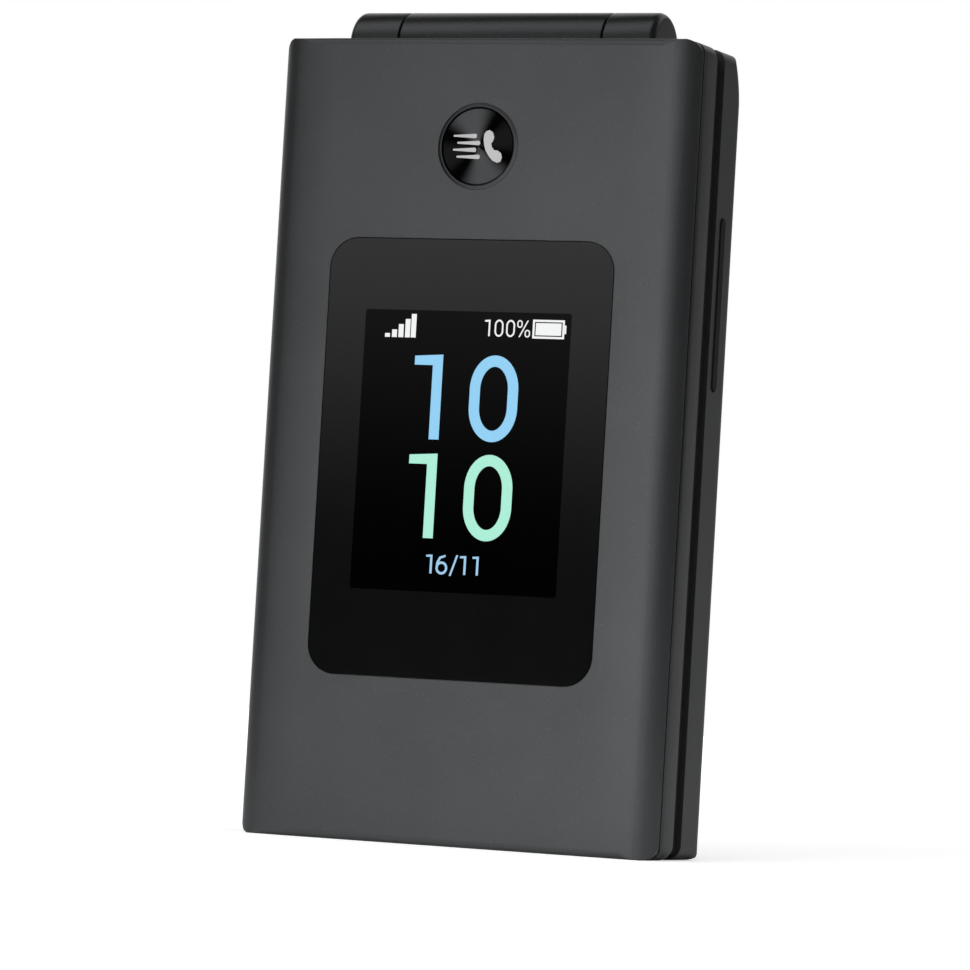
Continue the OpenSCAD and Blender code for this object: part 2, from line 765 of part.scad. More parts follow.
// A strip with a row of small holes
module earpiece_mesh() {
    color([0.25, 0.25, 0.26]) difference() {
        slab(bezel_y, bezel_plate_y - mesh_sink) translate([0, ear_z]) pill(ear_slot[0], ear_slot[1]);
        for (i = [-mesh_side:mesh_side]) rod_y(bezel_y - cut, rim_y + cut, i * mesh_pitch, ear_z, mesh_r);
    }
}

module lid_magnet() {
    color([0.6, 0.6, 0.62]) block(magnet_x, bezel_y - fit - magnet[1], magnet_z, magnet);
}

module lid_bumpers() {
    color([0.12, 0.12, 0.12]) for (s = [-1, 1])
        slab(rim_y - bumper_sink, rim_y + half_gap - fit) translate([s * bumper_x, bumper_z])
            pill(bumper[0], bumper[1]);
}

// A screw whose head faces the back, at head_y
module screw(x, z, head_y, len) {
    rod_y(head_y - screw_head_t, head_y, x, z, screw_head_r);
    rod_y(head_y - screw_head_t - len, head_y - screw_head_t + fit, x, z, screw_r);
}

module lid_screws() {
    color([0.7, 0.7, 0.7]) for (s = [-1, 1], z = lid_screw_z)
        screw(s * lid_screw_x, z, rim_y, lid_screw_len);
}

// ---- hinge ----

// An outer piece of the barrel, from x0 to its rounded end at x1
module end_knuckle(x0, x1) {
    r = barrel_end_r;
    translate([0, hinge_y, hinge_z]) rotate([0, 90, 0]) rotate_extrude() {
        translate([0, x0]) square([barrel_r, x1 - r - x0]);
        translate([0, x0]) square([barrel_r - r, x1 - x0]);
        translate([barrel_r - r, x1 - r]) circle(r = r);
    }
}

// The foot that fixes a knuckle inside its half
module knuckle_foot(x0, x1, y0) {
    translate([x0, y0, foot_z[0]]) cube([x1 - x0, foot_t, foot_z[1] - foot_z[0]]);
}

module hinge_knuckle_center() {
    color([0.2, 0.21, 0.22]) difference() {
        union() {
            rod_x(-center_half + knuckle_gap / 2, center_half - knuckle_gap / 2, hinge_y, hinge_z, barrel_r);
            knuckle_foot(center_foot_inset - center_half, center_half - center_foot_inset,
                bezel_y - fit - foot_t);
        }
        rod_x(-center_half - cut, center_half + cut, hinge_y, hinge_z, barrel_bore_r);
        beam(flex_x - flex_w / 2 - flex_gap, flex_x + flex_w / 2 + flex_gap) flex_path(flex_gap);
    }
}

module base_knuckle() {
    difference() {
        union() {
            end_knuckle(center_half + knuckle_gap / 2, barrel_half);
            knuckle_foot(center_half + end_foot_inset[0], barrel_half - end_foot_inset[1], housing_y + fit);
        }
        rod_x(center_half - cut, barrel_half - knuckle_end, hinge_y, hinge_z, barrel_bore_r);
    }
}

module hinge_knuckle_right() {
    color([0.2, 0.21, 0.22]) base_knuckle();
}

module hinge_knuckle_left() {
    color([0.2, 0.21, 0.22]) mirror([1, 0, 0]) base_knuckle();
}

// Spring cartridge in the lid's knuckle, which drives the cam head
module hinge_cartridge() {
    color([0.65, 0.65, 0.67]) difference() {
        rod_x(cartridge_x, center_half - knuckle_gap / 2, hinge_y, hinge_z, barrel_bore_r - fit);
        rod_x(shaft_bore_x, center_half + cut, hinge_y, hinge_z, hinge_shaft_r + shaft_gap);
    }
}

module hinge_cam_head() {
    color([0.55, 0.55, 0.57]) {
        rod_x(end_x[0], end_x[1], hinge_y, hinge_z, barrel_bore_r - fit);
        rod_x(shaft_x, end_x[0] + fit, hinge_y, hinge_z, hinge_shaft_r);
    }
}

// Hollow pin at the other end, which also leads the flex cable through
module hinge_pin() {
    color([0.6, 0.6, 0.62]) difference() {
        union() {
            rod_x(-end_x[1], -end_x[0], hinge_y, hinge_z, barrel_bore_r - fit);
            rod_x(-end_x[0] - fit, pin_reach - center_half, hinge_y, hinge_z, barrel_bore_r - pin_gap);
        }
        rod_x(-barrel_half, pin_reach - center_half + cut, hinge_y, hinge_z, pin_bore_r);
    }
}

// The flex cable's way out of the barrel, in side view, made wider by grow
module flex_path(grow) {
    t = flex_t / 2 + grow;
    start = [hinge_y - flex_roll_r / 2, hinge_z - flex_roll_r / 2];
    bend = [flex_y, hinge_z + flex_y - hinge_y];
    polygon([
        start + [-t, t],
        bend + [-t, 0.4 * t],
        [flex_y - t, flex_end_z - grow],
        [flex_y + t, flex_end_z - grow],
        bend + [t, -0.4 * t],
        start + [t, -t]
    ]);
}

// Flex cable: rolled up on the hinge line, then down to the lid's board
module lid_flex() {
    color([0.75, 0.45, 0.1]) {
        rod_x(flex_stop - barrel_half, flex_x + flex_w / 2, hinge_y, hinge_z, flex_roll_r);
        beam(flex_x - flex_w / 2, flex_x + flex_w / 2) flex_path(0);
    }
}

// ---- base ----

// Cross-section of the rear housing, drawn in by an inset
module housing_section(inset) {
    half = base_w / 2 - inset;
    y1 = back_y - inset;
    r = back_roll_r - inset;
    translate([-half, housing_y]) square([2 * half, y1 - r - housing_y]);
    translate([r - half, housing_y]) square([2 * (half - r), y1 - housing_y]);
    for (s = [-1, 1]) translate([s * (half - r), y1 - r]) circle(r = r);
}

// Side view of the rear housing, drawn in by an inset
module housing_side(inset) {
    y1 = back_y - inset;
    r = back_edge_r - inset;
    top_y = y1 - back_lean_in;      // where the upper edge's rounding ends
    z0 = inset;
    z1 = body_h - inset;
    e = hinge_edge_r;
    translate([housing_y + e, z0]) square([top_y - r - housing_y - e, z1 - z0]);
    translate([housing_y, z0]) square([top_y - r - housing_y, z1 - z0 - e]);
    translate([housing_y, z0]) square([y1 - r - housing_y, z1 - z0 - r]);
    translate([housing_y, z0 + r]) square([y1 - housing_y, z1 - z0 - 2 * r]);
    translate([housing_y + e, z1 - e]) circle(r = e);
    translate([y1 - r, z0 + r]) circle(r = r);
    translate([top_y - r, z1 - r]) circle(r = r);
}

// The cross-section run straight up, then over on the arc that leans in
module housing_run(inset) {
    tower(0, back_lean_z) housing_section(inset);
    intersection() {
        translate([0, back_y - back_lean_r, back_lean_z]) rotate([0, 90, 0]) rotate_extrude()
            rotate(90) translate([0, back_lean_r - back_y]) mirror([1, 0, 0]) housing_section(inset);
        slab(housing_y, back_y) translate([-base_w / 2, back_lean_z]) square([base_w, back_lean_h]);
    }
}

module housing_form(inset) {
    intersection() {
        housing_run(inset);
        slab(housing_y, back_y) outline(base_w, corner_r, inset);
        beam(-base_w / 2, base_w / 2) housing_side(inset);
    }
}

module cover_outline(grow) {
    translate([0, cover_z + cover_h / 2]) round_rect(cover_w + 2 * grow, cover_h + 2 * grow, cover_r + grow);
}

module speaker_slots() {
    for (i = [0:slot_count - 1])
        slab(cavity_y - cut, back_y + cut)
            translate([slot_x, camera_z + (i - (slot_count - 1) / 2) * slot_pitch])
            pill(slot_size[0], slot_size[1]);
}

module rear_housing() {
    color([0.21, 0.22, 0.23]) difference() {
        union() {
            difference() {
                housing_form(0);
                housing_form(housing_wall);
                slab(housing_y - cut, housing_y + cut) outline(base_w, corner_r, housing_wall);
            }
            intersection() {
                housing_form(0);
                union() {
                    block(0, floor_y - floor_t, bay_z[0] - housing_wall,
                        [bay_w + 2 * housing_wall, back_y, bay_z[1] - bay_z[0] + 2 * housing_wall]);
                    slab(cover_y - housing_wall, back_y) cover_outline(cover_ledge);
                    for (p = base_screws) rod_y(board_back_y + fit, back_y, p[0], p[1], base_boss_r);
                    rod_x(-center_half - barrel_rib, center_half + barrel_rib, hinge_y, hinge_z,
                        sweep_r + barrel_rib);
                }
            }
        }
        block(0, floor_y, bay_z[0], [bay_w, back_y, bay_z[1] - bay_z[0]]);
        slab(cover_y, back_y + cut) cover_outline(cover_gap);
        base_barrel_cut();
        for (p = base_screws) {
            rod_y(housing_y, back_y, p[0], p[1], screw_r + 2 * fit);
            rod_y(base_head_y - screw_head_t, back_y, p[0], p[1], screw_head_r + fit);
        }
        slab(back_y - camera_window_t, back_y + cut) translate([0, camera_z])
            pill(camera_window_size[0] + 2 * fit, camera_window_size[1] + 2 * fit);
        rod_y(cavity_y - cut, back_y, camera_x, camera_z, lens_r + lens_gap);
        speaker_slots();
        rod_y(back_y - notch_t, back_y + cut, 0, cover_z - notch_t, notch_r);
        translate([base_w / 2 - housing_wall - cut, rocker_y, rocker_z]) rotate([90, 0, 90])
            linear_extrude(height = housing_wall + 2 * cut)
            rotate(90) pill(rocker_len + 2 * rocker_gap, rocker_w + 2 * rocker_gap);
        rod_x(jack_x - cut, jack_body_x + fit, socket_y, jack_z, jack_collar_r + fit);
        translate([0, socket_y, -cut]) linear_extrude(height = housing_wall + 2 * cut)
            pill(usb_w + 2 * fit, usb_h + 2 * fit);
        for (s = [-1, 1])
            block(s * pad_x, socket_y - pad[1] / 2 - fit, -cut,
                [pad[0] + 2 * fit, pad[1] + 2 * fit, housing_wall + 2 * cut]);
        rod_z(-cut, housing_wall + cut, mic_x, socket_y, mic_port_r);
    }
}

// Places of the keys in X and Z: the number keys from 1 to the hash key, row by
// row from the top, and the function keys from the lower left
number_keys = [for (row = [3:-1:0], column = [0:2]) [key_x(column), key_z(row)]];
function_keys = [for (z = side_key_z, s = [-1, 1]) [s * side_key_x, z]];

module key_shape(w, h, grow) {
    round_rect(w + 2 * grow, h + 2 * grow, key_r + grow);
}

module key(place, w, h) {
    color([0.16, 0.17, 0.18]) translate([place[0], 0, place[1]]) {
        slab(key_top_y, key_flange_y + fit) key_shape(w, h, 0);
        slab(key_flange_y, key_flange_y + key_flange_t) key_shape(w, h, key_flange);
    }
}

module keypad_deck() {
    color([0.08, 0.08, 0.085]) difference() {
        union() {
            slab(deck_y, housing_y) intersection() {
                outline(deck_w, corner_r, 0);
                translate([-deck_w / 2, bezel_inset]) square([deck_w, wing_top - bezel_inset]);
            }
            for (p = base_screws) rod_y(housing_y - fit, board_back_y, p[0], p[1], base_boss_r - boss_step);
        }
        slab(deck_y - cut, well_y) translate([0, (well_z[0] + well_z[1]) / 2])
            round_rect(well_w, well_z[1] - well_z[0], well_r);
        for (place = number_keys)
            slab(deck_y - cut, housing_y + cut) translate(place) key_shape(key_w, key_h, key_gap);
        for (place = function_keys)
            slab(deck_y - cut, housing_y + cut) translate(place) key_shape(side_key_w, side_key_h, key_gap);
        rod_y(deck_y - cut, housing_y + cut, 0, nav_z, nav_r + key_gap);
        for (p = base_screws) rod_y(screw_hole_y, board_back_y + cut, p[0], p[1], screw_r + fit);
        base_barrel_cut();
    }
}

module nav_rocker() {
    color([0.3, 0.31, 0.32]) difference() {
        union() {
            rod_y(key_top_y, nav_bottom_y, 0, nav_z, nav_r);
            for (s = [-1, 1]) {
                block(s * nav_leg_x, nav_bottom_y, nav_z - nav_leg[2] / 2, nav_leg);
                block(s * nav_tab_x, key_flange_y + fit, nav_z - nav_tab[2] / 2, nav_tab);
            }
        }
        rod_y(key_top_y - cut, housing_y + cut, 0, nav_z, nav_in_r);
    }
}

module ok_key() {
    color([0.3, 0.31, 0.32]) {
        rod_y(key_top_y, key_flange_y + fit, 0, nav_z, ok_r);
        rod_y(key_flange_y, key_flange_y + key_flange_t, 0, nav_z, ok_r + ok_flange);
    }
}

module dome_sheet() {
    color([0.8, 0.8, 0.78]) difference() {
        slab(dome_y, dome_y + dome_t) translate([0, (well_z[0] + well_z[1]) / 2])
            round_rect(board_w, well_z[1] - well_z[0], dome_r);
        for (p = base_screws) rod_y(dome_y - cut, dome_y + dome_t + cut, p[0], p[1], base_boss_r);
    }
}

module main_board() {
    color([0.05, 0.3, 0.18]) difference() {
        union() {
            slab(board_y, board_back_y) translate([0, (board_z[0] + board_z[1]) / 2])
                round_rect(board_w, board_z[1] - board_z[0], board_r);
            for (c = base_chips) block(c[0], board_back_y, c[1], [c[2], base_chip_t, c[3]]);
        }
        for (p = base_screws) rod_y(board_y - cut, board_back_y + cut, p[0], p[1], base_boss_r);
        translate([-base_w / 2, board_y - cut, jack_z - jack_notch[1] / 2])
            cube([jack_notch[0], board_t + 2 * cut, jack_notch[1]]);
    }
}

module battery() {
    color([0.15, 0.15, 0.16]) tower(battery_z, battery_z + battery_h)
        translate([0, battery_y + battery_t / 2]) round_rect(battery_w, battery_t, battery_r);
}

module battery_contacts() {
    color([0.8, 0.65, 0.3]) block(0, floor_y + fit, contact_z, contact_block);
}

module sim_socket() {
    color([0.7, 0.7, 0.7]) difference() {
        block(0, floor_y + fit, sim_z, sim_size);
        block(sim_wall[0], floor_y + fit + sim_wall[1], sim_z + sim_wall[2],
            [sim_size[0], sim_size[1] - 2 * sim_wall[1], sim_size[2] - 2 * sim_wall[2]]);
    }
}

module loudspeaker() {
    color([0.3, 0.3, 0.3]) slab(cavity_y - fit - speaker[1], cavity_y - fit)
        translate([speaker_x, camera_z]) round_rect(speaker[0], speaker[2], speaker_r);
}

module vibration_motor() {
    color([0.7, 0.7, 0.72])
        rod_y(board_back_y + fit, board_back_y + fit + motor_t, motor_x, motor_z, motor_r);
}

module usb_socket() {
    color([0.72, 0.72, 0.74]) translate([0, socket_y, usb_z]) {
        difference() {
            linear_extrude(height = usb_len) pill(usb_w, usb_h);
            translate([0, 0, -cut]) linear_extrude(height = usb_len - usb_end + cut)
                pill(usb_w - 2 * usb_wall, usb_h - 2 * usb_wall);
        }
        translate([-tongue[0] / 2, -tongue[1] / 2, usb_len - usb_end - tongue[2]])
            cube([tongue[0], tongue[1], tongue[2] + fit]);
    }
}

module headset_jack() {
    color([0.1, 0.1, 0.1]) difference() {
        union() {
            translate([jack_body_x, socket_y - jack_body[1] / 2, jack_z - jack_body[1] / 2])
                cube([jack_body[0], jack_body[1], jack_body[1]]);
            rod_x(jack_x, jack_body_x + fit, socket_y, jack_z, jack_collar_r);
        }
        rod_x(jack_x - cut, jack_x + jack_len, socket_y, jack_z, jack_r);
    }
}

module camera_module() {
    y1 = cavity_y - camera_drop;
    color([0.1, 0.1, 0.12]) {
        block(camera_x, y1 - camera[1], camera_z - camera[2] / 2, camera);
        rod_y(y1 - fit, back_y - camera_window_t - fit, camera_x, camera_z, lens_r);
    }
}

module camera_window() {
    color([0.03, 0.03, 0.035]) slab(back_y - camera_window_t, back_y + trim_proud) translate([0, camera_z])
        pill(camera_window_size[0], camera_window_size[1]);
}

module charge_contacts() {
    color([0.85, 0.68, 0.3]) for (s = [-1, 1])
        block(s * pad_x, socket_y - pad[1] / 2, pad_recess, pad);
}

module microphone() {
    color([0.6, 0.6, 0.6]) block(mic_x, socket_y - mic[1] / 2, housing_wall + fit, mic);
}

module antenna() {
    color([0.8, 0.5, 0.2])
        block(fit + housing_wall + antenna_size[0] / 2 - base_w / 2, antenna_y, antenna_z, antenna_size);
}

module housing_screws() {
    color([0.7, 0.7, 0.7]) for (p = base_screws)
        screw(p[0], p[1], base_head_y, base_head_y - screw_head_t - screw_tip_y);
}

module battery_cover() {
    color([0.2, 0.21, 0.22]) {
        slab(cover_y, back_y) cover_outline(0);
        for (s = [-1, 1]) block(s * rib_x, cover_y - rib[1], rib_z, rib);
    }
}

module volume_rocker() {
    x1 = base_w / 2 + rocker_proud;
    x0 = base_w / 2 - housing_wall - rocker_swing;
    color([0.1, 0.1, 0.105]) translate([0, rocker_y, rocker_z]) {
        rotate([90, 0, 90]) translate([0, 0, x0 - fit]) linear_extrude(height = x1 - x0 + fit)
            rotate(90) pill(rocker_len, rocker_w);
        translate([x0 - rocker_flange[0], -rocker_flange[1] / 2, -rocker_flange[2] / 2])
            cube(rocker_flange);
    }
}

rear_housing();
keypad_deck();
main_board();
dome_sheet();
battery();
battery_contacts();
sim_socket();
loudspeaker();
vibration_motor();
usb_socket();
headset_jack();
camera_module();
camera_window();
charge_contacts();
microphone();
antenna();
housing_screws();
hinge_knuckle_left();
hinge_knuckle_right();
hinge_cam_head();
hinge_pin();
lid_front_shell();
lid_rear_shell();
lid_bezel();
outer_window();
outer_display();
inner_window();
inner_display();
earpiece();
earpiece_mesh();
lid_board();
dial_ring();
lid_magnet();
lid_bumpers();
lid_screws();
hinge_knuckle_center();
hinge_cartridge();
lid_flex();
dial_button();
volume_rocker();
battery_cover();
key(number_keys[0], key_w, key_h);  // key_1
key(number_keys[1], key_w, key_h);  // key_2
key(number_keys[2], key_w, key_h);  // key_3
key(number_keys[3], key_w, key_h);  // key_4
key(number_keys[4], key_w, key_h);  // key_5
key(number_keys[5], key_w, key_h);  // key_6
key(number_keys[6], key_w, key_h);  // key_7
key(number_keys[7], key_w, key_h);  // key_8
key(number_keys[8], key_w, key_h);  // key_9
key(number_keys[9], key_w, key_h);  // key_star
key(number_keys[10], key_w, key_h);  // key_0
key(number_keys[11], key_w, key_h);  // key_hash
key(function_keys[0], side_key_w, side_key_h);  // call_key
key(function_keys[1], side_key_w, side_key_h);  // end_key
key(function_keys[2], side_key_w, side_key_h);  // soft_key_left
key(function_keys[3], side_key_w, side_key_h);  // soft_key_right
nav_rocker();
ok_key();
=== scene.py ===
# %% [markdown]
# # A flip phone, finished around its CAD model
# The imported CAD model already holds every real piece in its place: shells, windows, keys, hinge and boards.
# This scene doesn't move any of them. It gives each one a finish, and adds what is too fine for a solid
# model: the lit picture on both displays, the printed numbers and signs, the spun face of the round button.

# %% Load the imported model
import json
import math

import bmesh
import bpy
from mathutils import Matrix, Vector


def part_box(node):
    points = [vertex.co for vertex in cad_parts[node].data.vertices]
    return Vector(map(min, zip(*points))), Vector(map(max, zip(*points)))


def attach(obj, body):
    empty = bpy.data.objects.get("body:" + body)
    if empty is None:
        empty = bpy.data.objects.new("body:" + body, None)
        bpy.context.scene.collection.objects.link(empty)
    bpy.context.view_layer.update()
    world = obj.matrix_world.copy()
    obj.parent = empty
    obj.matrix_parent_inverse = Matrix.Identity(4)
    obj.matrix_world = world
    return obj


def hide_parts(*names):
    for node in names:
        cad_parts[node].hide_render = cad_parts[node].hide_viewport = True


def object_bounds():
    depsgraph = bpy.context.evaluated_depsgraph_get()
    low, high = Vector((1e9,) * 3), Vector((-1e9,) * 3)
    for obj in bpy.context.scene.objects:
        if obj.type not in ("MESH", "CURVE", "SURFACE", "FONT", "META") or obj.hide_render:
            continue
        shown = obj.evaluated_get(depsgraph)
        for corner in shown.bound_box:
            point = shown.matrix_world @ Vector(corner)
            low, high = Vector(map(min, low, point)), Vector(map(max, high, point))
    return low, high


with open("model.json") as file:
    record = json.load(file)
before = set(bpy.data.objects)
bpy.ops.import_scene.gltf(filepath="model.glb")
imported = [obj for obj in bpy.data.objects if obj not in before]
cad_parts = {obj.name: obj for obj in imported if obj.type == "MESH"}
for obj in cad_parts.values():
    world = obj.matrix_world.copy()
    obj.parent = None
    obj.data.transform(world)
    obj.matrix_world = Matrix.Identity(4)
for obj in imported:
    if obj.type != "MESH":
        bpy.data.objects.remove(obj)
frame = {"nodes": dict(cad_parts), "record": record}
nodes = frame["nodes"]
cad_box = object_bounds()
MM = 0.001
for plain in list(bpy.data.materials):
    bpy.data.materials.remove(plain)


def put(name, data):
    """Puts a new object into the scene."""
    made = bpy.data.objects.new(name, data)
    bpy.context.scene.collection.objects.link(made)
    return made


# %% [markdown]
# ## The camera
# A long lens from far away keeps the phone's edges nearly parallel, as in a catalogue. The camera stands low,
# to the right of the phone's front, and leans a little. Its matrix is made from three directions: ahead, to
# the right and up. A camera looks along its own -Z, so the third column is the direction back to the eye.

# %% Stand the camera up
EYE = Vector((261.597, -588.815, 18.591)) * MM
LOOKED_AT = Vector((3.659, -9.3, 44.949)) * MM
LENS_MM = 190.4
FILM_MM = 36
LEAN = math.radians(3.346)

camera_data = bpy.data.cameras.new("long_lens")
camera_data.lens = LENS_MM
camera_data.sensor_width = FILM_MM
camera_data.clip_start = 0.05
camera_data.clip_end = 50
camera = put("long_lens", camera_data)
ahead = (LOOKED_AT - EYE).normalized()
level = ahead.cross(Vector((0, 0, 1))).normalized()
upright = level.cross(ahead)
across = math.cos(LEAN) * level + math.sin(LEAN) * upright
up = math.cos(LEAN) * upright - math.sin(LEAN) * level
camera.matrix_world = Matrix.Translation(EYE) @ Matrix((across, up, -ahead)).transposed().to_4x4()
bpy.context.scene.camera = camera
print("the camera looks", tuple(round(v, 4) for v in ahead))

# %% [markdown]
# ## A way to write shaders
# A finish is a sum: grain plus flecks, times a colour. Written with nodes alone that is hard to read, so a
# small class wraps a socket and lets `+`, `-` and `*` add the Math nodes. Any other node comes from `node`,
# which sets the node's choices first, because they decide which sockets it has.

# %% Wire and Recipe
PREFIX = "ShaderNode"
MIX_COLOURS = {"data_type": "RGBA"}
MIX_RESULT = 2


class Wire:
    """One output of a node, which can be used in sums."""

    def __init__(self, recipe, socket):
        self.recipe = recipe
        self.socket = socket


for sign, operation in (("add", "ADD"), ("sub", "SUBTRACT"), ("mul", "MULTIPLY")):
    setattr(Wire, "__%s__" % sign, lambda self, other, kind=operation: self.recipe.sum(kind, self, other))
    setattr(Wire, "__r%s__" % sign, lambda self, other, kind=operation: self.recipe.sum(kind, other, self))


class Recipe:
    """The steps of one finish, which end in a Principled shader."""

    def __init__(self, name):
        self.material = bpy.data.materials.new(name)
        self.material.use_nodes = True
        self.tree = self.material.node_tree
        self.tree.nodes.clear()
        self.place = self.node("TexCoord", output="Object")

    def node(self, kind, choices=None, sockets=None, output=0):
        made = self.tree.nodes.new(PREFIX + kind)
        for choice, value in (choices or {}).items():
            setattr(made, choice, value)
        for socket, value in (sockets or {}).items():
            if isinstance(value, Wire):
                self.tree.links.new(value.socket, made.inputs[socket])
            else:
                made.inputs[socket].default_value = value
        return Wire(self, made.outputs[output])

    def sum(self, operation, first, second=0.0):
        return self.node("Math", {"operation": operation}, {0: first, 1: second})

    def step(self, value, low, high):
        """Rises smoothly from 0 at low to 1 at high."""
        return self.node("MapRange", {"interpolation_type": "SMOOTHSTEP"},
                         {"Value": value, "From Min": low, "From Max": high})

    def mix(self, factor, first, second):
        return self.node("Mix", MIX_COLOURS, {0: factor, 6: first, 7: second}, output=MIX_RESULT)

    def grain(self, size_mm, detail=2.0, rough=0.5, place=None):
        """Soft noise from 0 to 1, whose lumps are about size_mm across."""
        return self.node("TexNoise", {}, {"Vector": place or self.place, "Scale": 1 / (size_mm * MM),
                                          "Detail": detail, "Roughness": rough}, output="Fac")

    def stretched(self, along):
        """Object coordinates, shrunk along one axis so that a grain becomes brush marks."""
        return self.node("VectorMath", {"operation": "MULTIPLY"}, {0: self.place, 1: along}, output="Vector")

    def coordinate(self, axis, place=None):
        return self.node("SeparateXYZ", {}, {0: place or self.place}, output=axis)

    def bump(self, height, depth_mm):
        return self.node("Bump", {}, {"Height": height, "Distance": depth_mm * MM, "Strength": 1.0})

    def finish(self, **values):
        """Ends the recipe. Names such as coat_weight stand for the shader's Coat Weight."""
        sockets = {key.replace("_", " ").title().replace("Ior", "IOR"): value for key, value in values.items()}
        shader = self.node("BsdfPrincipled", {}, sockets, output="BSDF")
        self.node_out = self.tree.nodes.new("ShaderNodeOutputMaterial")
        self.tree.links.new(shader.socket, self.node_out.inputs["Surface"])
        return self.material


def grey(level, tint=(1.0, 1.0, 1.0)):
    """A colour from one level of grey, with an optional tint."""
    return (level * tint[0], level * tint[1], level * tint[2], 1.0)


print("shader helpers ready")

# %% [markdown]
# ## Graphite paint
# The shells are moulded plastic, sprayed with a dark paint that holds fine metal flakes. From near it shows a
# soft grain, sparse lighter flecks and a very faint cloudiness where the spray was thicker. Voronoi cells make
# good flecks: each cell has one random number, so a step on it lights up only a few cells, and a second step
# on the distance to the cell's middle keeps each fleck small and round.

# %% Mix the graphite paint
COOL = (0.97, 1.0, 1.03)
FLECK_MM = 0.30
GRAIN_MM = 0.22
CLOUD_MM = 14.0
PAINT_METALLIC = 0.92


def graphite(name, level, roughness, fleck_share=0.10, fleck_gain=0.045):
    """Satin paint: level is its grey, fleck_share how many cells carry a visible flake."""
    paint = Recipe(name)
    spots = {"Vector": paint.place, "Scale": 1 / (FLECK_MM * MM)}
    cells, lots = (paint.node("TexVoronoi", {}, spots, output=output) for output in ("Distance", "Color"))
    lot = paint.node("SeparateColor", {}, {0: lots}, output=0)
    fleck = paint.step(lot, 1 - fleck_share, 1.0) * (1 - paint.step(cells, 0.10, 0.45))
    grain = paint.grain(GRAIN_MM, detail=4.0, rough=0.65)
    cloud = paint.grain(CLOUD_MM, detail=3.0)
    shade = 0.55 * grain + 0.45 * cloud
    ground = paint.mix(paint.step(shade, 0.3, 0.7), grey(level * 0.91, COOL), grey(level * 1.09, COOL))
    flake = grey(level + fleck_gain, COOL)
    colour = paint.mix(fleck, ground, flake)
    rough = roughness + 0.06 * grain - 0.12 * fleck
    skin = paint.bump(grain + 0.5 * fleck, 0.006)
    return paint.finish(base_color=colour, roughness=rough, metallic=PAINT_METALLIC, normal=skin)


# The same graphite paint in four copies: the face's copy is set much lighter than the side, cover and barrel
# copies, and that difference is painted light on the face that looks into the lamps.
face_paint = graphite("face_paint", 0.128, 0.44)
side_paint = graphite("side_paint", 0.085, 0.44, fleck_gain=0.025)
cover_paint = graphite("cover_paint", 0.080, 0.48, fleck_gain=0.03)
barrel_paint = graphite("barrel_paint", 0.080, 0.25, fleck_share=0.06, fleck_gain=0.02)
print("graphite paints:", [m.name for m in (face_paint, side_paint, cover_paint, barrel_paint)])

# %% [markdown]
# ## Black mouldings, rubber and windows
# Mouldings that aren't painted keep the texture of their mould: fine spark erosion, which is a bump much
# smaller than a millimetre. The windows are polished and printed black from behind, so they are smooth, and
# only wiping marks vary their gloss.

# %% Mix the mouldings and the windows


def moulding(name, level, roughness, texture_mm=0.12, depth_mm=0.01, shine=0.5):
    """Textured plastic as it leaves its mould."""
    plastic = Recipe(name)
    texture = plastic.grain(texture_mm, detail=3.0)
    cloud = plastic.grain(9.0)
    colour = plastic.mix(cloud, grey(level * 0.85), grey(level * 1.15))
    return plastic.finish(base_color=colour, roughness=roughness + 0.1 * texture - 0.05 * cloud,
                          specular_ior_level=shine, normal=plastic.bump(texture, depth_mm))


def window(name, level, shine=0.5):
    """A polished pane over black print, with faint wiping marks."""
    pane = Recipe(name)
    wiped = pane.grain(6.0, detail=4.0, rough=0.7, place=pane.stretched((1.0, 1.0, 0.35)))
    colour = pane.mix(wiped, grey(level * 0.9, COOL), grey(level * 1.1, COOL))
    return pane.finish(base_color=colour, roughness=0.03 + 0.05 * wiped, specular_ior_level=shine)


moulding("deck_black", 0.020, 0.40, shine=0.34)
moulding("inner_plastic", 0.020, 0.5)
moulding("rocker_black", 0.010, 0.42, texture_mm=0.08, shine=0.06)
soft_rubber = moulding("soft_rubber", 0.022, 0.75, texture_mm=0.2, depth_mm=0.02)
window_glass = window("window_glass", 0.0045)
window("display_panel", 0.004, shine=0.3)
print("mouldings and windows ready")

# %% [markdown]
# ## Keycaps
# The keycaps are moulded too, with a finer texture and a thin satin lacquer over it that keeps the print from
# wearing off. The lacquer is the shader's coat.

# %% Mix the keycaps


def keycap(name, level, tint=(1.0, 1.0, 1.0)):
    """Fine textured plastic under satin lacquer."""
    cap = Recipe(name)
    texture = cap.grain(0.1, detail=2.0)
    cloud = cap.grain(5.0)
    colour = cap.mix(cloud, grey(level * 0.88, tint), grey(level * 1.12, tint))
    return cap.finish(base_color=colour, roughness=0.40 + 0.12 * texture, coat_weight=0.25,
                      coat_roughness=0.22, normal=cap.bump(texture, 0.005))


keycap("key_plastic", 0.028, COOL)
keycap("key_call", 0.16, (0.12, 1.0, 0.34))
keycap("key_end", 0.34, (1.0, 0.06, 0.045))
print("keycaps ready")

# %% [markdown]
# ## Metals
# Plated steel, gold contacts and ground pins differ in colour and in how they were worked. Brushed or ground
# metal is noise that is much longer along the brush than across it, in the gloss and in a shallow bump.

# %% Mix the metals
MARK_MM, MARK_DEPTH_MM = 0.12, 0.003


def metal(name, colour, roughness, along=(1.0, 1.0, 0.04)):
    """Bare or plated metal with fine tool marks."""
    bare = Recipe(name)
    marks = bare.grain(MARK_MM, detail=2.0, place=bare.stretched(along))
    tarnish = bare.grain(4.0, detail=3.0)
    dull = tuple(c * 0.82 for c in colour) + (1.0,)
    shade = bare.mix(0.5 * marks + 0.5 * tarnish, dull, colour + (1.0,))
    return bare.finish(base_color=shade, metallic=1.0, roughness=roughness + 0.14 * marks - 0.05 * tarnish,
                       normal=bare.bump(marks, MARK_DEPTH_MM))


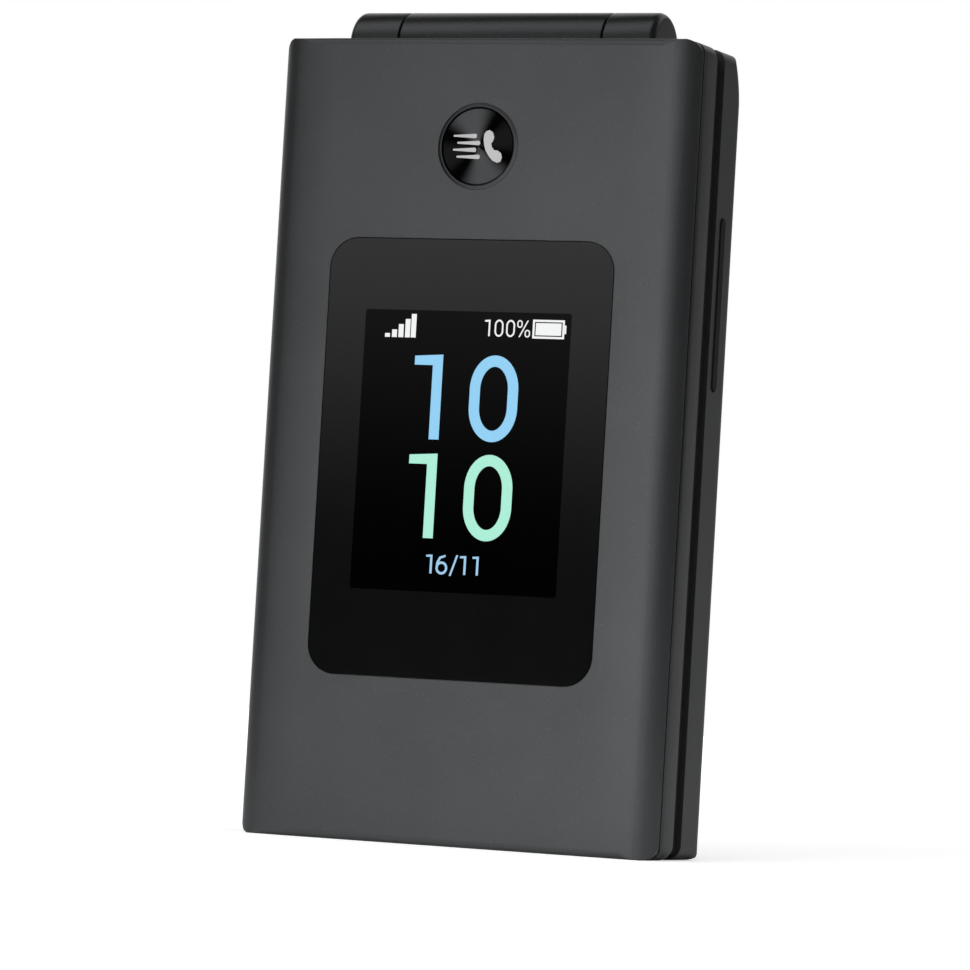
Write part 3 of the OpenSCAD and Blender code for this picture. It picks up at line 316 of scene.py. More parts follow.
plated_steel = metal("plated_steel", (0.58, 0.57, 0.56), 0.28)
metal("hinge_steel", (0.46, 0.46, 0.47), 0.22, along=(0.05, 1.0, 1.0))
metal("gold_contact", (0.83, 0.60, 0.25), 0.22)
metal("mesh_metal", (0.16, 0.16, 0.165), 0.38)
ring_metal = metal("ring_metal", (0.105, 0.107, 0.112), 0.36, along=(1.0, 1.0, 1.0))
print("metals ready")

# %% [markdown]
# ## Spun metal
# The round button and the navigation rocker are turned on a lathe. The tool leaves rings too fine to see one
# by one, but together they throw light only across the rings, so bright and dark wedges fan out from the
# middle. Here the wedges are a painted highlight: the base colour is made lighter by angle round the piece's
# own axis, and the rings are a bump on its radius.

# %% Mix the spun metals
RING_PITCH_MM = 0.16


def spun(name, centre, dark, bright, brightest_at, side_highlight, roughness=0.3):
    """Metal turned about an axis along Y through centre, which is given in millimetres in X and Z. Its base colour
    carries painted highlight wedges, lightest at brightest_at degrees.
    """
    disc = Recipe(name)
    moved = disc.node("VectorMath", {"operation": "SUBTRACT"},
                      {0: disc.place, 1: (centre[0] * MM, 0.0, centre[1] * MM)}, output="Vector")
    x, z = disc.coordinate("X", moved), disc.coordinate("Z", moved)
    angle = disc.sum("ARCTAN2", z, x)
    turn = disc.sum("COSINE", 2 * angle - 2 * math.radians(brightest_at))
    # Painted highlight: two lighter wedges in the base colour about the angle brightest_at, and two fainter ones
    # across them.
    highlight_wedges = disc.step(turn, -0.15, 1.0) + side_highlight * disc.step(-1 * turn, 0.45, 1.0)
    radius = disc.sum("SQRT", x * x + z * z)
    streak = disc.grain(0.35, detail=2.0, place=disc.node(
        "CombineXYZ", {}, {0: radius * 6.0, 1: angle * 0.0006, 2: 0.0}))
    # The painted highlight, with the spun streaks running through it.
    painted_highlight = highlight_wedges * (0.85 + 0.3 * streak)
    rings = disc.sum("SINE", radius * (2 * math.pi / (RING_PITCH_MM * MM)))
    return disc.finish(base_color=disc.mix(painted_highlight, grey(dark, COOL), grey(bright, COOL)), metallic=1.0,
                       roughness=roughness + 0.1 * streak, normal=disc.bump(rings, 0.0015))


DIAL_CENTRE = (0.0, 87.05)
NAV_CENTRE = (0.0, 66.4)
spun("dial_metal", DIAL_CENTRE, 0.002, 0.125, 108, side_highlight=0.12)
spun("nav_metal", NAV_CENTRE, 0.10, 0.46, 100, roughness=0.34, side_highlight=0.45)
print("spun metals ready")

# %% [markdown]
# ## Circuits and the battery
# Boards are green under their solder mask, with copper tracks that run square to each other. The same bricks
# pattern that walls use makes believable tracks when its mortar is thin. The flex cable is amber film, the
# dome sheet milky film, and the battery a can in a dark wrap.

# %% Mix the inner finishes


def circuit(name, mask, track, pitch_mm=1.3):
    """A film or board with faint tracks under its surface."""
    board = Recipe(name)
    plan = board.node("CombineXYZ", {}, {0: board.coordinate("X"), 1: board.coordinate("Z"), 2: 0.0})
    bricks = board.node("TexBrick", {"offset": 0.37, "squash": 0.6, "squash_frequency": 3}, {
        "Vector": plan, "Scale": 1 / (pitch_mm * MM), "Mortar Size": 0.06, "Mortar Smooth": 0.3,
        "Color1": grey(0.0), "Color2": grey(0.25), "Mortar": grey(1.0)}, output="Fac")
    dust = board.grain(0.4)
    colour = board.mix(bricks, mask + (1.0,), track + (1.0,))
    return board.finish(base_color=colour, roughness=0.3 + 0.2 * dust, normal=board.bump(bricks, 0.02))


circuit("circuit_board", (0.010, 0.075, 0.040), (0.030, 0.15, 0.075))
circuit("copper_film", (0.40, 0.17, 0.04), (0.55, 0.27, 0.09), pitch_mm=0.5)
circuit("dome_film", (0.55, 0.55, 0.52), (0.48, 0.47, 0.42), pitch_mm=7.0)
moulding("battery_wrap", 0.035, 0.35, texture_mm=0.5)
print("inner finishes ready")

# %% [markdown]
# ## Dress the CAD nodes
# The record names a material slot for each node, and the finishes mixed above carry the same names. One
# finish per slot is enough, because the patterns read Object coordinates and so run on from one node to the
# next.

# %% Give each node its finish
finish_of = {part["node"]: part["material_slot"] for part in frame["record"]["subparts"]}
for name, node in nodes.items():
    node.data.materials.clear()
    node.data.materials.append(bpy.data.materials[finish_of[name]])
print("dressed", len(nodes), "nodes with", len(set(finish_of.values())), "finishes")

# %% [markdown]
# ## Drawing on the phone's faces
# Print, signs and the displays' pictures are thin pieces of their own. Each is drawn flat in millimetres with
# X to the right, Y up and Z towards the viewer, and is then turned to the face that it lies on. That keeps
# every drawing the right way round, on the lid's face, inside the fold and on the back alike.

# %% Faces and a way to place a drawing
LID_FACE = Matrix(((1, 0, 0), (0, 0, -1), (0, 1, 0)))       # seen from the front: out is -Y, up is +Z
INSIDE_LID = Matrix(((1, 0, 0), (0, 0, 1), (0, -1, 0)))     # seen with the lid open: out is +Y, up is -Z
BACK = Matrix(((-1, 0, 0), (0, 0, 1), (0, 1, 0)))           # seen from behind: out is +Y, up is +Z


def put_drawing(name, drawing, finish):
    """Puts a drawing into the scene as an object with one finish."""
    mesh = bpy.data.meshes.new(name)
    drawing.to_mesh(mesh)
    drawing.free()
    mesh.materials.clear()
    mesh.materials.append(finish)
    return put(name, mesh)


def keep_piece(drawing, name, body, finish, smooth_to=0):
    """Makes a piece that rides on a body. Edges flatter than smooth_to degrees are shaded smooth."""
    bmesh.ops.recalc_face_normals(drawing, faces=drawing.faces)
    piece = put_drawing(name, drawing, finish)
    for polygon in piece.data.polygons:
        polygon.use_smooth = smooth_to > 0
    if smooth_to:
        piece.data.set_sharp_from_angle(angle=math.radians(smooth_to))
    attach(piece, body)
    print(name, "rides on", body, "with", len(piece.data.polygons), "faces")
    return piece


def place_drawing(drawing, name, body, finish, face, at, size=1.0, about=(0.0, 0.0), smooth_to=0):
    """Scales a drawing about a point, turns it to its face and moves it to a place in millimetres."""
    flat = Matrix.Diagonal((size, size, 1.0, 1.0)) @ Matrix.Translation((-about[0], -about[1], 0.0))
    bmesh.ops.transform(drawing, verts=drawing.verts,
                        matrix=Matrix.Scale(MM, 4) @ Matrix.Translation(at) @ face.to_4x4() @ flat)
    return keep_piece(drawing, name, body, finish, smooth_to)


def draw_outline(drawing, points):
    """A face from corner points, in order."""
    return drawing.faces.new([drawing.verts.new((x, y, 0.0)) for x, y in points])


def draw_panel(drawing, x, y, width, height, radius=0.0):
    """A rectangle about its centre, with rounded corners where a radius is given."""
    w, h = width / 2, height / 2
    face = draw_outline(drawing, [(x - w, y - h), (x + w, y - h), (x + w, y + h), (x - w, y + h)])
    if radius:
        bmesh.ops.bevel(drawing, geom=list(face.verts), offset=radius, affect="VERTICES", segments=6,
                        profile=0.5, material=-1)


RING_STEPS = 48


def draw_ring(drawing, x, y, width, height, stroke, arch=1.0):
    """An upright ring with straight sides, such as the digit 0. An arch over 1 stretches its round ends."""
    made = bmesh.ops.create_circle(drawing, cap_ends=True, segments=RING_STEPS, radius=width / 2,
                                   matrix=Matrix.Rotation(math.pi / RING_STEPS, 4, "Z"))["verts"]
    for vert in made:
        above = math.copysign((height - arch * width) / 2, vert.co.y)
        vert.co = Vector((x + vert.co.x, y + arch * vert.co.y + above, 0.0))
    hollow_out(drawing, made[0].link_faces[0], stroke)


def hollow_out(drawing, face, stroke):
    """Leaves only a line of the given width along a face's edge."""
    face.normal_update()
    bmesh.ops.inset_individual(drawing, faces=[face], thickness=stroke, use_even_offset=True)
    bmesh.ops.delete(drawing, geom=[face], context="FACES_ONLY")


def thicken(drawing, depth):
    """Gives every flat face of a drawing some depth towards the viewer, closed all round."""
    made = bmesh.ops.extrude_face_region(drawing, geom=list(drawing.faces), use_keep_orig=True)["geom"]
    raised = [part for part in made if isinstance(part, bmesh.types.BMVert)]
    bmesh.ops.translate(drawing, vec=(0.0, 0.0, depth), verts=raised)


def draw_frame(drawing, left, low, right, high, stroke):
    """A line round a rectangle, inside its edge."""
    hollow_out(drawing, draw_outline(drawing, [(left, low), (right, low), (right, high), (left, high)]), stroke)


def turned_points(points, degrees, about=(0.0, 0.0), to=(0.0, 0.0)):
    """Points turned about one place and moved so that this place comes to another."""
    spin = Matrix.Rotation(math.radians(degrees), 2)
    return [spin @ (Vector(point) - Vector(about)) + Vector(to) for point in points]


def drawn(depth, *strokes):
    """A drawing from strokes, each a drawing function and its values, thickened to a depth."""
    drawing = bmesh.new()
    for stroke, *values in strokes:
        stroke(drawing, *values)
    thicken(drawing, depth)
    return drawing


GLYPH_T = 0.012


def panels(*boxes, radius=0.0, depth=GLYPH_T):
    """A drawing of several panels, each given as x, y, width and height."""
    return drawn(depth, *((draw_panel, *box, radius) for box in boxes))


print("drawing helpers ready")

# %% [markdown]
# ## Rounded edges
# No moulded piece has a knife edge. The pieces whose edges show most are copied from the CAD model, their
# seams closed and their picked edges rounded, and each copy takes the place of its node. A rule picks the
# edges: the rim round a key's top, the ends of the hinge barrel's knuckles, the outer rim of a shell.

# %% Round the keys, the battery cover, the knuckles and the shells' rims
SHARP = math.radians(40)
FLAT = math.radians(0.5)
SEAM_M = 1e-6
ROUND_STEPS = 3
KEY_R, COVER_R, KNUCKLE_R, SHELL_R = 0.28, 0.25, 0.18, 0.45
COVER_Y, SHELL_Y = 9.3, -1.8
NUMBER_KEYS = ["key_%d" % n for n in range(10)] + ["key_star", "key_hash"]
KEYS = NUMBER_KEYS + ["soft_key_left", "soft_key_right", "call_key", "end_key", "nav_rocker", "ok_key"]


def closed_copy(node):
    """A drawing of a CAD node with its seams closed."""
    drawing = bmesh.new()
    drawing.from_mesh(nodes[node].data)
    bmesh.ops.remove_doubles(drawing, verts=drawing.verts, dist=SEAM_M)
    return drawing


def joined_copy(node):
    """The same with the triangles of each flat face joined."""
    drawing = closed_copy(node)
    bmesh.ops.dissolve_limit(drawing, angle_limit=FLAT, verts=drawing.verts, edges=drawing.edges)
    bmesh.ops.recalc_face_normals(drawing, faces=drawing.faces)
    return drawing


def rounded_copy(node, body, radius_mm, picks):
    """A copy of a CAD node with rounded edges where picks(edge) says so."""
    drawing = joined_copy(node)
    edges = [e for e in drawing.edges if len(e.link_faces) == 2 and e.calc_face_angle() > SHARP and picks(e)]
    bmesh.ops.bevel(drawing, geom=edges, offset=radius_mm * MM, segments=ROUND_STEPS, affect="EDGES",
                    profile=0.5, material=-1, clamp_overlap=True)
    slot = finish_of[node]
    piece = keep_piece(drawing, node + "_rounded", body, bpy.data.materials[slot], smooth_to=35)
    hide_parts(node)


def lies_at(y_mm):
    """Picks the edges in the plane y = y_mm."""
    return lambda edge: all(abs(v.co.y - y_mm * MM) < 0.01 * MM for v in edge.verts)


HINGE_Y, HINGE_Z, BARREL_R = -0.395, 100.4, 4.6


def rings_barrel(edge):
    """Picks the ends of the barrel: edges on its radius that run across its axis."""
    start, end = (v.co for v in edge.verts)
    return abs(start.x - end.x) < 0.01 * MM and all(
        abs(math.hypot(v.y - HINGE_Y * MM, v.z - HINGE_Z * MM) - BARREL_R * MM) < 0.03 * MM for v in (start, end))


for node in KEYS:
    rounded_copy(node, node, KEY_R, lies_at(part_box(node)[0].y / MM))
rounded_copy("battery_cover", "battery_cover", COVER_R, lies_at(COVER_Y))
for side, body in (("left", "base"), ("right", "base"), ("center", "lid")):
    rounded_copy("hinge_knuckle_" + side, body, KNUCKLE_R, rings_barrel)


def outer_rim(y_mm):
    """Picks the outer rim in the plane y = y_mm: its edges have one face that looks away from the middle."""
    middle = Vector((0.0, y_mm * MM, (cad_box[0][2] + cad_box[1][2]) / 2))
    flat = lies_at(y_mm)
    return lambda edge: flat(edge) and any(
        abs(f.normal.y) < 0.5 and f.normal.dot(edge.verts[0].co - middle) > 0 for f in edge.link_faces)


rounded_copy("lid_rear_shell", "lid", SHELL_R, outer_rim(SHELL_Y))

# %% [markdown]
# ## The lid's soft shoulders
# The CAD shell has a flat face and a plain arc at each side, and a mirror would show a line where they meet.
# The real face starts to bend earlier and comes back to the same seam. The slope that this copy adds grows
# from nothing to TILT where the arc starts, and falls again so that its sum is nothing at the seam.

# %% Soften the shoulders
BEND_FROM, ARC_FROM, SEAM_X = 20.0, 24.0, 28.4
TILT = 0.084
BACK_TILT = TILT * (SEAM_X - BEND_FROM) / (SEAM_X - ARC_FROM)
BEND_CUTS = 8
FULL_Y, NO_Y = -7.2, -6.0


def shoulder_drop(x):
    """How far the face falls back at x, in millimetres."""
    bend, arc = min(abs(x), ARC_FROM) - BEND_FROM, max(abs(x) - ARC_FROM, 0.0)
    if bend <= 0:
        return 0.0
    drop = TILT * bend ** 2 / (2 * (ARC_FROM - BEND_FROM))
    return drop + TILT * arc - (TILT + BACK_TILT) * arc ** 2 / (2 * (SEAM_X - ARC_FROM))


drawing = closed_copy("lid_front_shell")
for cut in range(BEND_CUTS + 1):
    x = BEND_FROM + cut * (ARC_FROM - BEND_FROM) / BEND_CUTS
    for side in (-1, 1):
        bmesh.ops.bisect_plane(drawing, geom=list(drawing.verts) + list(drawing.edges) + list(drawing.faces),
                               plane_co=(side * x * MM, 0.0, 0.0), plane_no=(1.0, 0.0, 0.0), dist=SEAM_M)
for vert in drawing.verts:
    share = min(max((NO_Y - vert.co.y / MM) / (NO_Y - FULL_Y), 0.0), 1.0)
    vert.co.y += share * shoulder_drop(vert.co.x / MM) * MM
soft_shell = keep_piece(drawing, "lid_front_shell_soft", "lid", face_paint, smooth_to=20)
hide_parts("lid_front_shell")

# %% [markdown]
# A smooth shader blends the directions at a face's corners. The shell's faces are long, so a corner that
# borrows some slope from the roll at the top shows it as a wedge of light all the way down. Here the flat
# face keeps its own direction, the upright strips keep theirs level, and every bend starts from there.

# %% Set the shell's shading directions
OUTWARDS = Vector((0.0, -1.0, 0.0))
TRULY_FLAT, NEARLY_FLAT, BENDS = FLAT / 4, math.radians(20), math.radians(70)
LEVEL = 0.004


def turned(polygon, angle):
    """Whether a face looks outwards to within an angle."""
    return polygon.normal.dot(OUTWARDS) > math.cos(angle)


mesh = soft_shell.data
flat_corners = {index for polygon in mesh.polygons if turned(polygon, TRULY_FLAT) for index in polygon.vertices}
level_corners = {index for polygon in mesh.polygons if turned(polygon, BENDS) and abs(polygon.normal.z) < LEVEL
                 for index in polygon.vertices}
directions = [corner.vector.copy() for corner in mesh.corner_normals]
for polygon in mesh.polygons:
    if turned(polygon, BENDS):
        for corner in polygon.loop_indices:
            index = mesh.loops[corner].vertex_index
            if index in flat_corners and turned(polygon, NEARLY_FLAT):
                directions[corner] = OUTWARDS
            elif index in level_corners:
                directions[corner] = Vector((directions[corner].x, directions[corner].y, 0.0)).normalized()
mesh.normals_split_custom_set(directions)
print("flat at", len(flat_corners), "corners, level at", len(level_corners))

# %% [markdown]
# ## The outer display's picture
# The display shows the time in two rows, the signal, the charge and the date. A lit glyph gives off its own
# light and hardly any reflection, so its finish is emission over black. The glyphs lie a hundredth of a
# millimetre proud of the window, because the window is printed black and nothing would show from below it.

# %% Lit finishes
GLOW = 1.0


def lit(name, colour):
    """A part of a display that gives off light, with the fine unevenness of its pixels."""
    glow = Recipe(name)
    pixels = glow.grain(0.25, detail=0.0)
    shade = glow.mix(pixels, tuple(c * 0.94 for c in colour) + (1.0,), colour + (1.0,))
    return glow.finish(base_color=grey(0.004), roughness=0.4, specular_ior_level=0.1,
                       emission_color=shade, emission_strength=GLOW)


white_light = lit("white_light", (0.92, 0.93, 0.93))
blue_light = lit("blue_light", (0.30, 0.65, 0.93))
mint_light = lit("mint_light", (0.43, 0.88, 0.70))
pale_light = lit("pale_light", (0.36, 0.62, 0.87))
print("lit finishes ready")

# %% The black field behind the glyphs
WINDOW_Y = -9.3
FIELD, FIELD_Z, FIELD_R, FIELD_T = (28.03, 35.04), 48.93, 0.35, 0.006
field_black = window("field_black", 0.0005, shine=0.16)


def outer(drawing, name, finish, x=0.0, z=0.0):
    """Puts a drawing on the outer display's window."""
    place_drawing(drawing, name, "lid", finish, LID_FACE, (x, WINDOW_Y, z))


outer(panels((0.0, 0.0, *FIELD), radius=FIELD_R, depth=FIELD_T), "outer_display_field", field_black, z=FIELD_Z)

# %% Signal bars and the battery sign
SIGNAL_STEPS = ((-11.20, 63.48), (-10.25, 63.95), (-9.36, 64.64), (-8.46, 65.30), (-7.66, 65.95))
SIGNAL_LOW, SIGNAL_WIDTH = 63.0, 0.68


def signal_drawing():
    return panels(*((left + SIGNAL_WIDTH / 2, (top + SIGNAL_LOW) / 2, SIGNAL_WIDTH, top - SIGNAL_LOW)
                    for left, top in SIGNAL_STEPS))


def charge_drawing():
    """A battery's outline, its full charge and its pole."""
    return drawn(GLYPH_T, (draw_frame, 8.86, 63.28, 13.14, 65.62, 0.27), (draw_panel, 11.0, 64.45, 3.44, 1.52),
                 (draw_panel, 13.27, 64.45, 0.22, 1.05))


outer(signal_drawing(), "signal_bars", white_light)
outer(charge_drawing(), "charge_sign", white_light)

# %% [markdown]
# ## Thin digits
# The display's digits are light and narrow, with straight sides, so they are drawn from a few strokes: a 1 is
# an outline of six corners, a 0 a stretched ring, and a 6 a short ring with a bent stem. Their widths are
# shares of the height, so the same four drawings serve the large time and the small date.

# %% Draw digits of any height
FLAG_WIDTH, FLAG_DEPTH, FLAG_RISE = 0.363, 0.106, 0.021
RING_WIDTH = 0.655


def draw_one(drawing, right, low, height, stroke):
    """An upright bar with a flag to the left, whose top rises a little."""
    left, high = right - FLAG_WIDTH * height, low + height
    under = high - (FLAG_RISE + FLAG_DEPTH) * height
    draw_outline(drawing, [(right - stroke, low), (right, low), (right, high), (left, high - FLAG_RISE * height),
                           (left, under), (right - stroke, under)])


def draw_zero(drawing, middle, low, height, stroke, width=RING_WIDTH, arch=1.0):
    draw_ring(drawing, middle, low + height / 2, width * height, height, stroke, arch)


def draw_six(drawing, middle, low, height, stroke):
    """A ring with a stem that leaves its left side and leans over to the right at the top."""
    w = RING_WIDTH * height
    draw_ring(drawing, middle, low + 0.32 * height, w, 0.64 * height, stroke)
    left = middle - w / 2
    draw_outline(drawing, [(left, low + 0.30 * height), (left + stroke, low + 0.30 * height),
                           (left + 1.15 * stroke, low + 0.56 * height), (left + 2.2 * stroke, low + 0.80 * height),
                           (left + 0.80 * w, low + 0.89 * height), (left + 0.80 * w, low + height),
                           (left + 1.5 * stroke, low + 0.90 * height), (left + 0.2 * stroke, low + 0.60 * height)])


def draw_slash(drawing, left, right, low, height, stroke):
    high = low + height
    draw_outline(drawing, [(left, low), (left + stroke, low), (right, high), (right - stroke, high)])


print("digit strokes ready")

# %% The time in two rows
OVERSHOOT = 0.08    # a round digit stands a little taller than a straight one
for row, finish, low, high in (("hours", blue_light, 50.36, 60.97), ("minutes", mint_light, 38.06, 48.62)):
    digits = drawn(GLYPH_T, (draw_one, -3.02, low, high - low, 1.36),
                   (draw_zero, 4.12, low - OVERSHOOT, high - low + 2 * OVERSHOOT, 1.40, 0.61, 1.3))
    outer(digits, "clock_" + row, finish)

# %% The charge in per cent and the date
outer(drawn(GLYPH_T, (draw_one, 3.12, 63.42, 2.05, 0.22),
            *((draw_zero, middle, 63.38, 2.13, 0.21, 0.56, 1.2) for middle in (4.32, 5.88)),
            *((draw_zero, middle, low, 0.96, 0.16, 0.76) for middle, low in ((7.12, 64.55), (8.18, 63.38))),
            (draw_slash, 7.0, 8.30, 63.4, 2.08, 0.19)), "charge_per_cent", white_light)


def date_drawing():
    return drawn(GLYPH_T, (draw_one, -2.55, 33.7, 2.35, 0.30), (draw_six, -1.25, 33.66, 2.43, 0.30),
                 (draw_slash, -0.2, 0.95, 33.5, 2.6, 0.27),
                 *((draw_one, right, 33.7, 2.35, 0.30) for right in (2.05, 3.75)))


outer(date_drawing(), "date_digits", pale_light, x=-0.35)

# %% [markdown]
# ## The inner display's picture
# Opened, the phone shows its standby picture: a blue field that is lighter below, the same signal, charge,
# time and date as outside, three tiles and a dark band with a mark above each of the two soft keys.

# %% Light the inner display
INNER_Y = -1.1
INNER_MIDDLE_Z = 47.0
INNER_FIELD = (39.6, 64.8)
STATUS_Y, STATUS_SIZE = 29.2, 1.35
TILE, TILE_X, TILE_Y = 9.0, 12.4, -12.0
TILE_SIGN_T = 0.018
MARK_Y = -29.3
ENVELOPE_FLAP = [(-2.6, -10.3), (-2.6, -10.9), (0.0, -12.7), (2.6, -10.9), (2.6, -10.3), (0.0, -12.1)]
BACK_MARK = [(13.4, 0.0), (15.0, -1.2), (15.0, -0.25), (17.0, -0.25), (17.0, 0.25), (15.0, 0.25), (15.0, 1.2)]


def inner(drawing, name, finish, place=(0.0, 0.0), size=1.0, about=(0.0, 0.0)):
    """Puts a drawing on the inner display, at a place counted from its middle as seen with the lid open."""
    place_drawing(drawing, name, "lid", finish, INSIDE_LID,
                  (place[0], INNER_Y, INNER_MIDDLE_Z - place[1]), size, about)


evening = Recipe("evening_field")
haze = evening.grain(26.0, detail=3.0, place=evening.stretched((0.4, 1.0, 1.0)))
low_light = evening.step(evening.coordinate("Z") + 0.016 * haze, 0.030, 0.088)
evening_field = evening.finish(
    base_color=grey(0.004), roughness=0.25, specular_ior_level=0.2, emission_strength=GLOW,
    emission_color=evening.mix(low_light, (0.012, 0.045, 0.13, 1.0), (0.05, 0.26, 0.42, 1.0)))
band_light = lit("band_light", (0.010, 0.018, 0.035))
teal_light = lit("teal_light", (0.03, 0.36, 0.33))
amber_light = lit("amber_light", (0.62, 0.30, 0.04))
rose_light = lit("rose_light", (0.50, 0.09, 0.16))

inner(panels((0.0, 0.0, *INNER_FIELD), radius=0.5, depth=FIELD_T), "inner_display_field", evening_field)
inner(signal_drawing(), "inner_signal_bars", white_light, (-15.8, STATUS_Y), STATUS_SIZE, (-9.3, 64.4))
inner(charge_drawing(), "inner_charge_sign", white_light, (15.4, STATUS_Y), STATUS_SIZE, (11.1, 64.4))
tens = [stroke for right, middle in ((-9.8, -5.3), (5.65, 10.15))
        for stroke in ((draw_one, right, 11.0, 9.5, 1.05), (draw_zero, middle, 10.93, 9.64, 1.05))]
colon = [(draw_panel, 0.0, height, 1.15, 1.15) for height in (13.6, 17.6)]
inner(drawn(GLYPH_T, *tens, *colon), "inner_clock", white_light)
inner(date_drawing(), "inner_date", pale_light, (0.0, 5.6), 1.5, (0.3, 34.9))

for name, finish, side in (("call", teal_light, -1), ("mail", amber_light, 0), ("camera", rose_light, 1)):
    inner(panels((side * TILE_X, TILE_Y, TILE, TILE), radius=1.6), "tile_" + name, finish)
inner(panels((0.0, MARK_Y, INNER_FIELD[0], 6.2)), "soft_key_band", band_light)
inner(drawn(TILE_SIGN_T, (draw_frame, -2.9, -14.0, 2.9, -10.0, 0.38), (draw_outline, ENVELOPE_FLAP),
            (draw_frame, 9.3, -14.0, 15.5, -10.4, 0.38), (draw_ring, TILE_X, -12.2, 2.3, 2.3, 0.42),
            (draw_panel, TILE_X, -10.1, 2.0, 0.55),
            *((draw_panel, -15.0, MARK_Y + line, 3.2, 0.4) for line in (-0.9, 0.0, 0.9)),
            (draw_ring, 0.0, MARK_Y, 2.3, 2.3, 0.4), (draw_outline, [(x, MARK_Y + y) for x, y in BACK_MARK])),
      "tile_and_band_signs", white_light)

# %% [markdown]
# ## The seal round the lid
# A thin rubber lip runs round the inside of the lid. It keeps dust out and closes the slit between the two
# halves, so no light comes through it. It ends three hundredths of a millimetre short of the keypad's deck.

# %% Lay the seal
RIM_Y, DECK_Y = -0.52, -0.27
SEAL_LOW, SEAL_HIGH, SEAL_WIDTH, SEAL_STROKE, SEAL_R = 1.3, 94.6, 54.6, 0.6, 2.4
SEAL_T = DECK_Y - RIM_Y - 0.03

drawing = bmesh.new()
draw_panel(drawing, 0.0, 0.0, SEAL_WIDTH, SEAL_HIGH - SEAL_LOW, radius=SEAL_R)
drawing.faces.ensure_lookup_table()
hollow_out(drawing, drawing.faces[0], SEAL_STROKE)
thicken(drawing, SEAL_T)
place_drawing(drawing, "lid_seal", "lid", soft_rubber, INSIDE_LID,
              (0.0, RIM_Y, (SEAL_LOW + SEAL_HIGH) / 2))

# %% [markdown]
# ## The round button's sign
# A handset beside four bars says that the button calls for help. It is printed in pale grey. The bars are
# thin at the left and thick and round at the right.

# %% Print the sign
HANDSET = [(1.46, 2.05), (1.93, 1.79), (2.15, 1.16), (2.03, 0.71), (1.78, 0.38), (1.90, -0.06), (2.24, -0.47),
           (2.72, -0.50), (3.19, -0.82), (3.35, -1.35), (3.17, -1.88), (2.69, -2.03), (2.10, -1.78),
           (1.53, -1.20), (1.09, -0.56), (0.86, 0.09), (0.72, 0.82), (0.78, 1.55), (1.04, 1.91)]
SIGN_BARS = [(-3.37, -0.22, 1.29), (-2.83, 0.28, 0.42), (-3.37, -0.22, -0.45), (-2.83, 0.33, -1.32)]
BAR_THIN, BAR_THICK, BAR_R = 0.11, 0.29, 0.24
SIGN_Y, SIGN_T = -9.272, 0.02
HANDSET_MIDDLE = (1.95, 0.05)
TILE_HANDSET_SIZE = 1.25
sign_print = moulding("sign_print", 0.46, 0.42, texture_mm=0.2, depth_mm=0.002)


def draw_bar(drawing, left, right, height):
    """A bar that widens to the right, where its corners are round."""
    bar = draw_outline(drawing, [(left, height - BAR_THIN), (right, height - BAR_THICK),
                                 (right, height + BAR_THICK), (left, height + BAR_THIN)])
    ends = [v for v in bar.verts if v.co.x > right - 0.01]
    bmesh.ops.bevel(drawing, geom=ends, offset=BAR_R, affect="VERTICES", segments=5, profile=0.5, material=-1)


place_drawing(drawn(SIGN_T, *((draw_bar, *bar) for bar in SIGN_BARS), (draw_outline, HANDSET)), "button_sign",
              "dial_button", sign_print, LID_FACE, (DIAL_CENTRE[0], SIGN_Y, DIAL_CENTRE[1]))
inner(drawn(TILE_SIGN_T, (draw_outline, HANDSET)), "tile_handset", white_light, (-TILE_X, TILE_Y),
      TILE_HANDSET_SIZE, HANDSET_MIDDLE)

# %% [markdown]
# ## Print on the keys
# Every key carries its number or sign, in white, or in black on the two metal ones. The print stands a
# hundredth of a millimetre proud of the cap, as a thick print does, and rides on its own key. The numbers are
# set in Blender's built-in font. A text object is made a mesh before it is placed, so that it ends up as
# plain faces like everything else.

# %% Set text as thin pieces
PRINT_T = 0.01


def text_drawing(words, height):
    """The faces of a line of text, centred, with digits of the given height in millimetres."""
    setting = bpy.data.curves.new("setting", "FONT")
    setting.body = words
    setting.align_x = "CENTER"
    setting.resolution_u = 4
    setter = bpy.data.objects.new("setting", setting)
    flat = bpy.data.meshes.new_from_object(setter)
    bpy.data.objects.remove(setter)
    bpy.data.curves.remove(setting)
    drawing = bmesh.new()
    drawing.from_mesh(flat)
    bpy.data.meshes.remove(flat)
    bmesh.ops.remove_doubles(drawing, verts=drawing.verts, dist=1e-5)
    low, high = (end(v.co.y for v in drawing.verts) for end in (min, max))
    size = height / (high - low)
    bmesh.ops.translate(drawing, vec=(0.0, -(low + high) / 2, 0.0), verts=drawing.verts)
    bmesh.ops.scale(drawing, vec=(size, size, 1.0), verts=drawing.verts)
    thicken(drawing, PRINT_T)
    return drawing


print("text helper ready")

# %% Print the keys
DIGIT_H, STAR_H = 4.6, 3.4
ONE_RIGHT, ONE_STROKE = 0.62, 0.55
LINE_LENGTH, LINE_WIDTH, LINE_PITCH = 3.4, 0.45, 0.9
BACK_ARROW = [(-2.0, 0.0), (-0.4, -1.3), (-0.4, -0.3), (1.9, -0.3), (1.9, 0.3), (-0.4, 0.3), (-0.4, 1.3)]
ARROW_REACH, ARROW_LENGTH, ARROW_HALF = 9.3, 1.25, 0.95
ARROW = [(ARROW_REACH, 0.0), (ARROW_REACH - ARROW_LENGTH, ARROW_HALF), (ARROW_REACH - ARROW_LENGTH, -ARROW_HALF)]
OK_RING, OK_STROKE = 3.0, 0.4
key_print = moulding("key_print", 0.72, 0.45, texture_mm=0.2, depth_mm=0.002)
dark_print = moulding("dark_print", 0.02, 0.45, texture_mm=0.2, depth_mm=0.002)


def print_on(node, drawing, finish=key_print):
    """Prints a drawing on the middle of a key's top."""
    low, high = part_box(node)
    middle = [(a + b) / 2 / MM for a, b in zip(low, high)]
    place_drawing(drawing, "print_on_" + node, node, finish, LID_FACE, (middle[0], low[1] / MM, middle[2]))


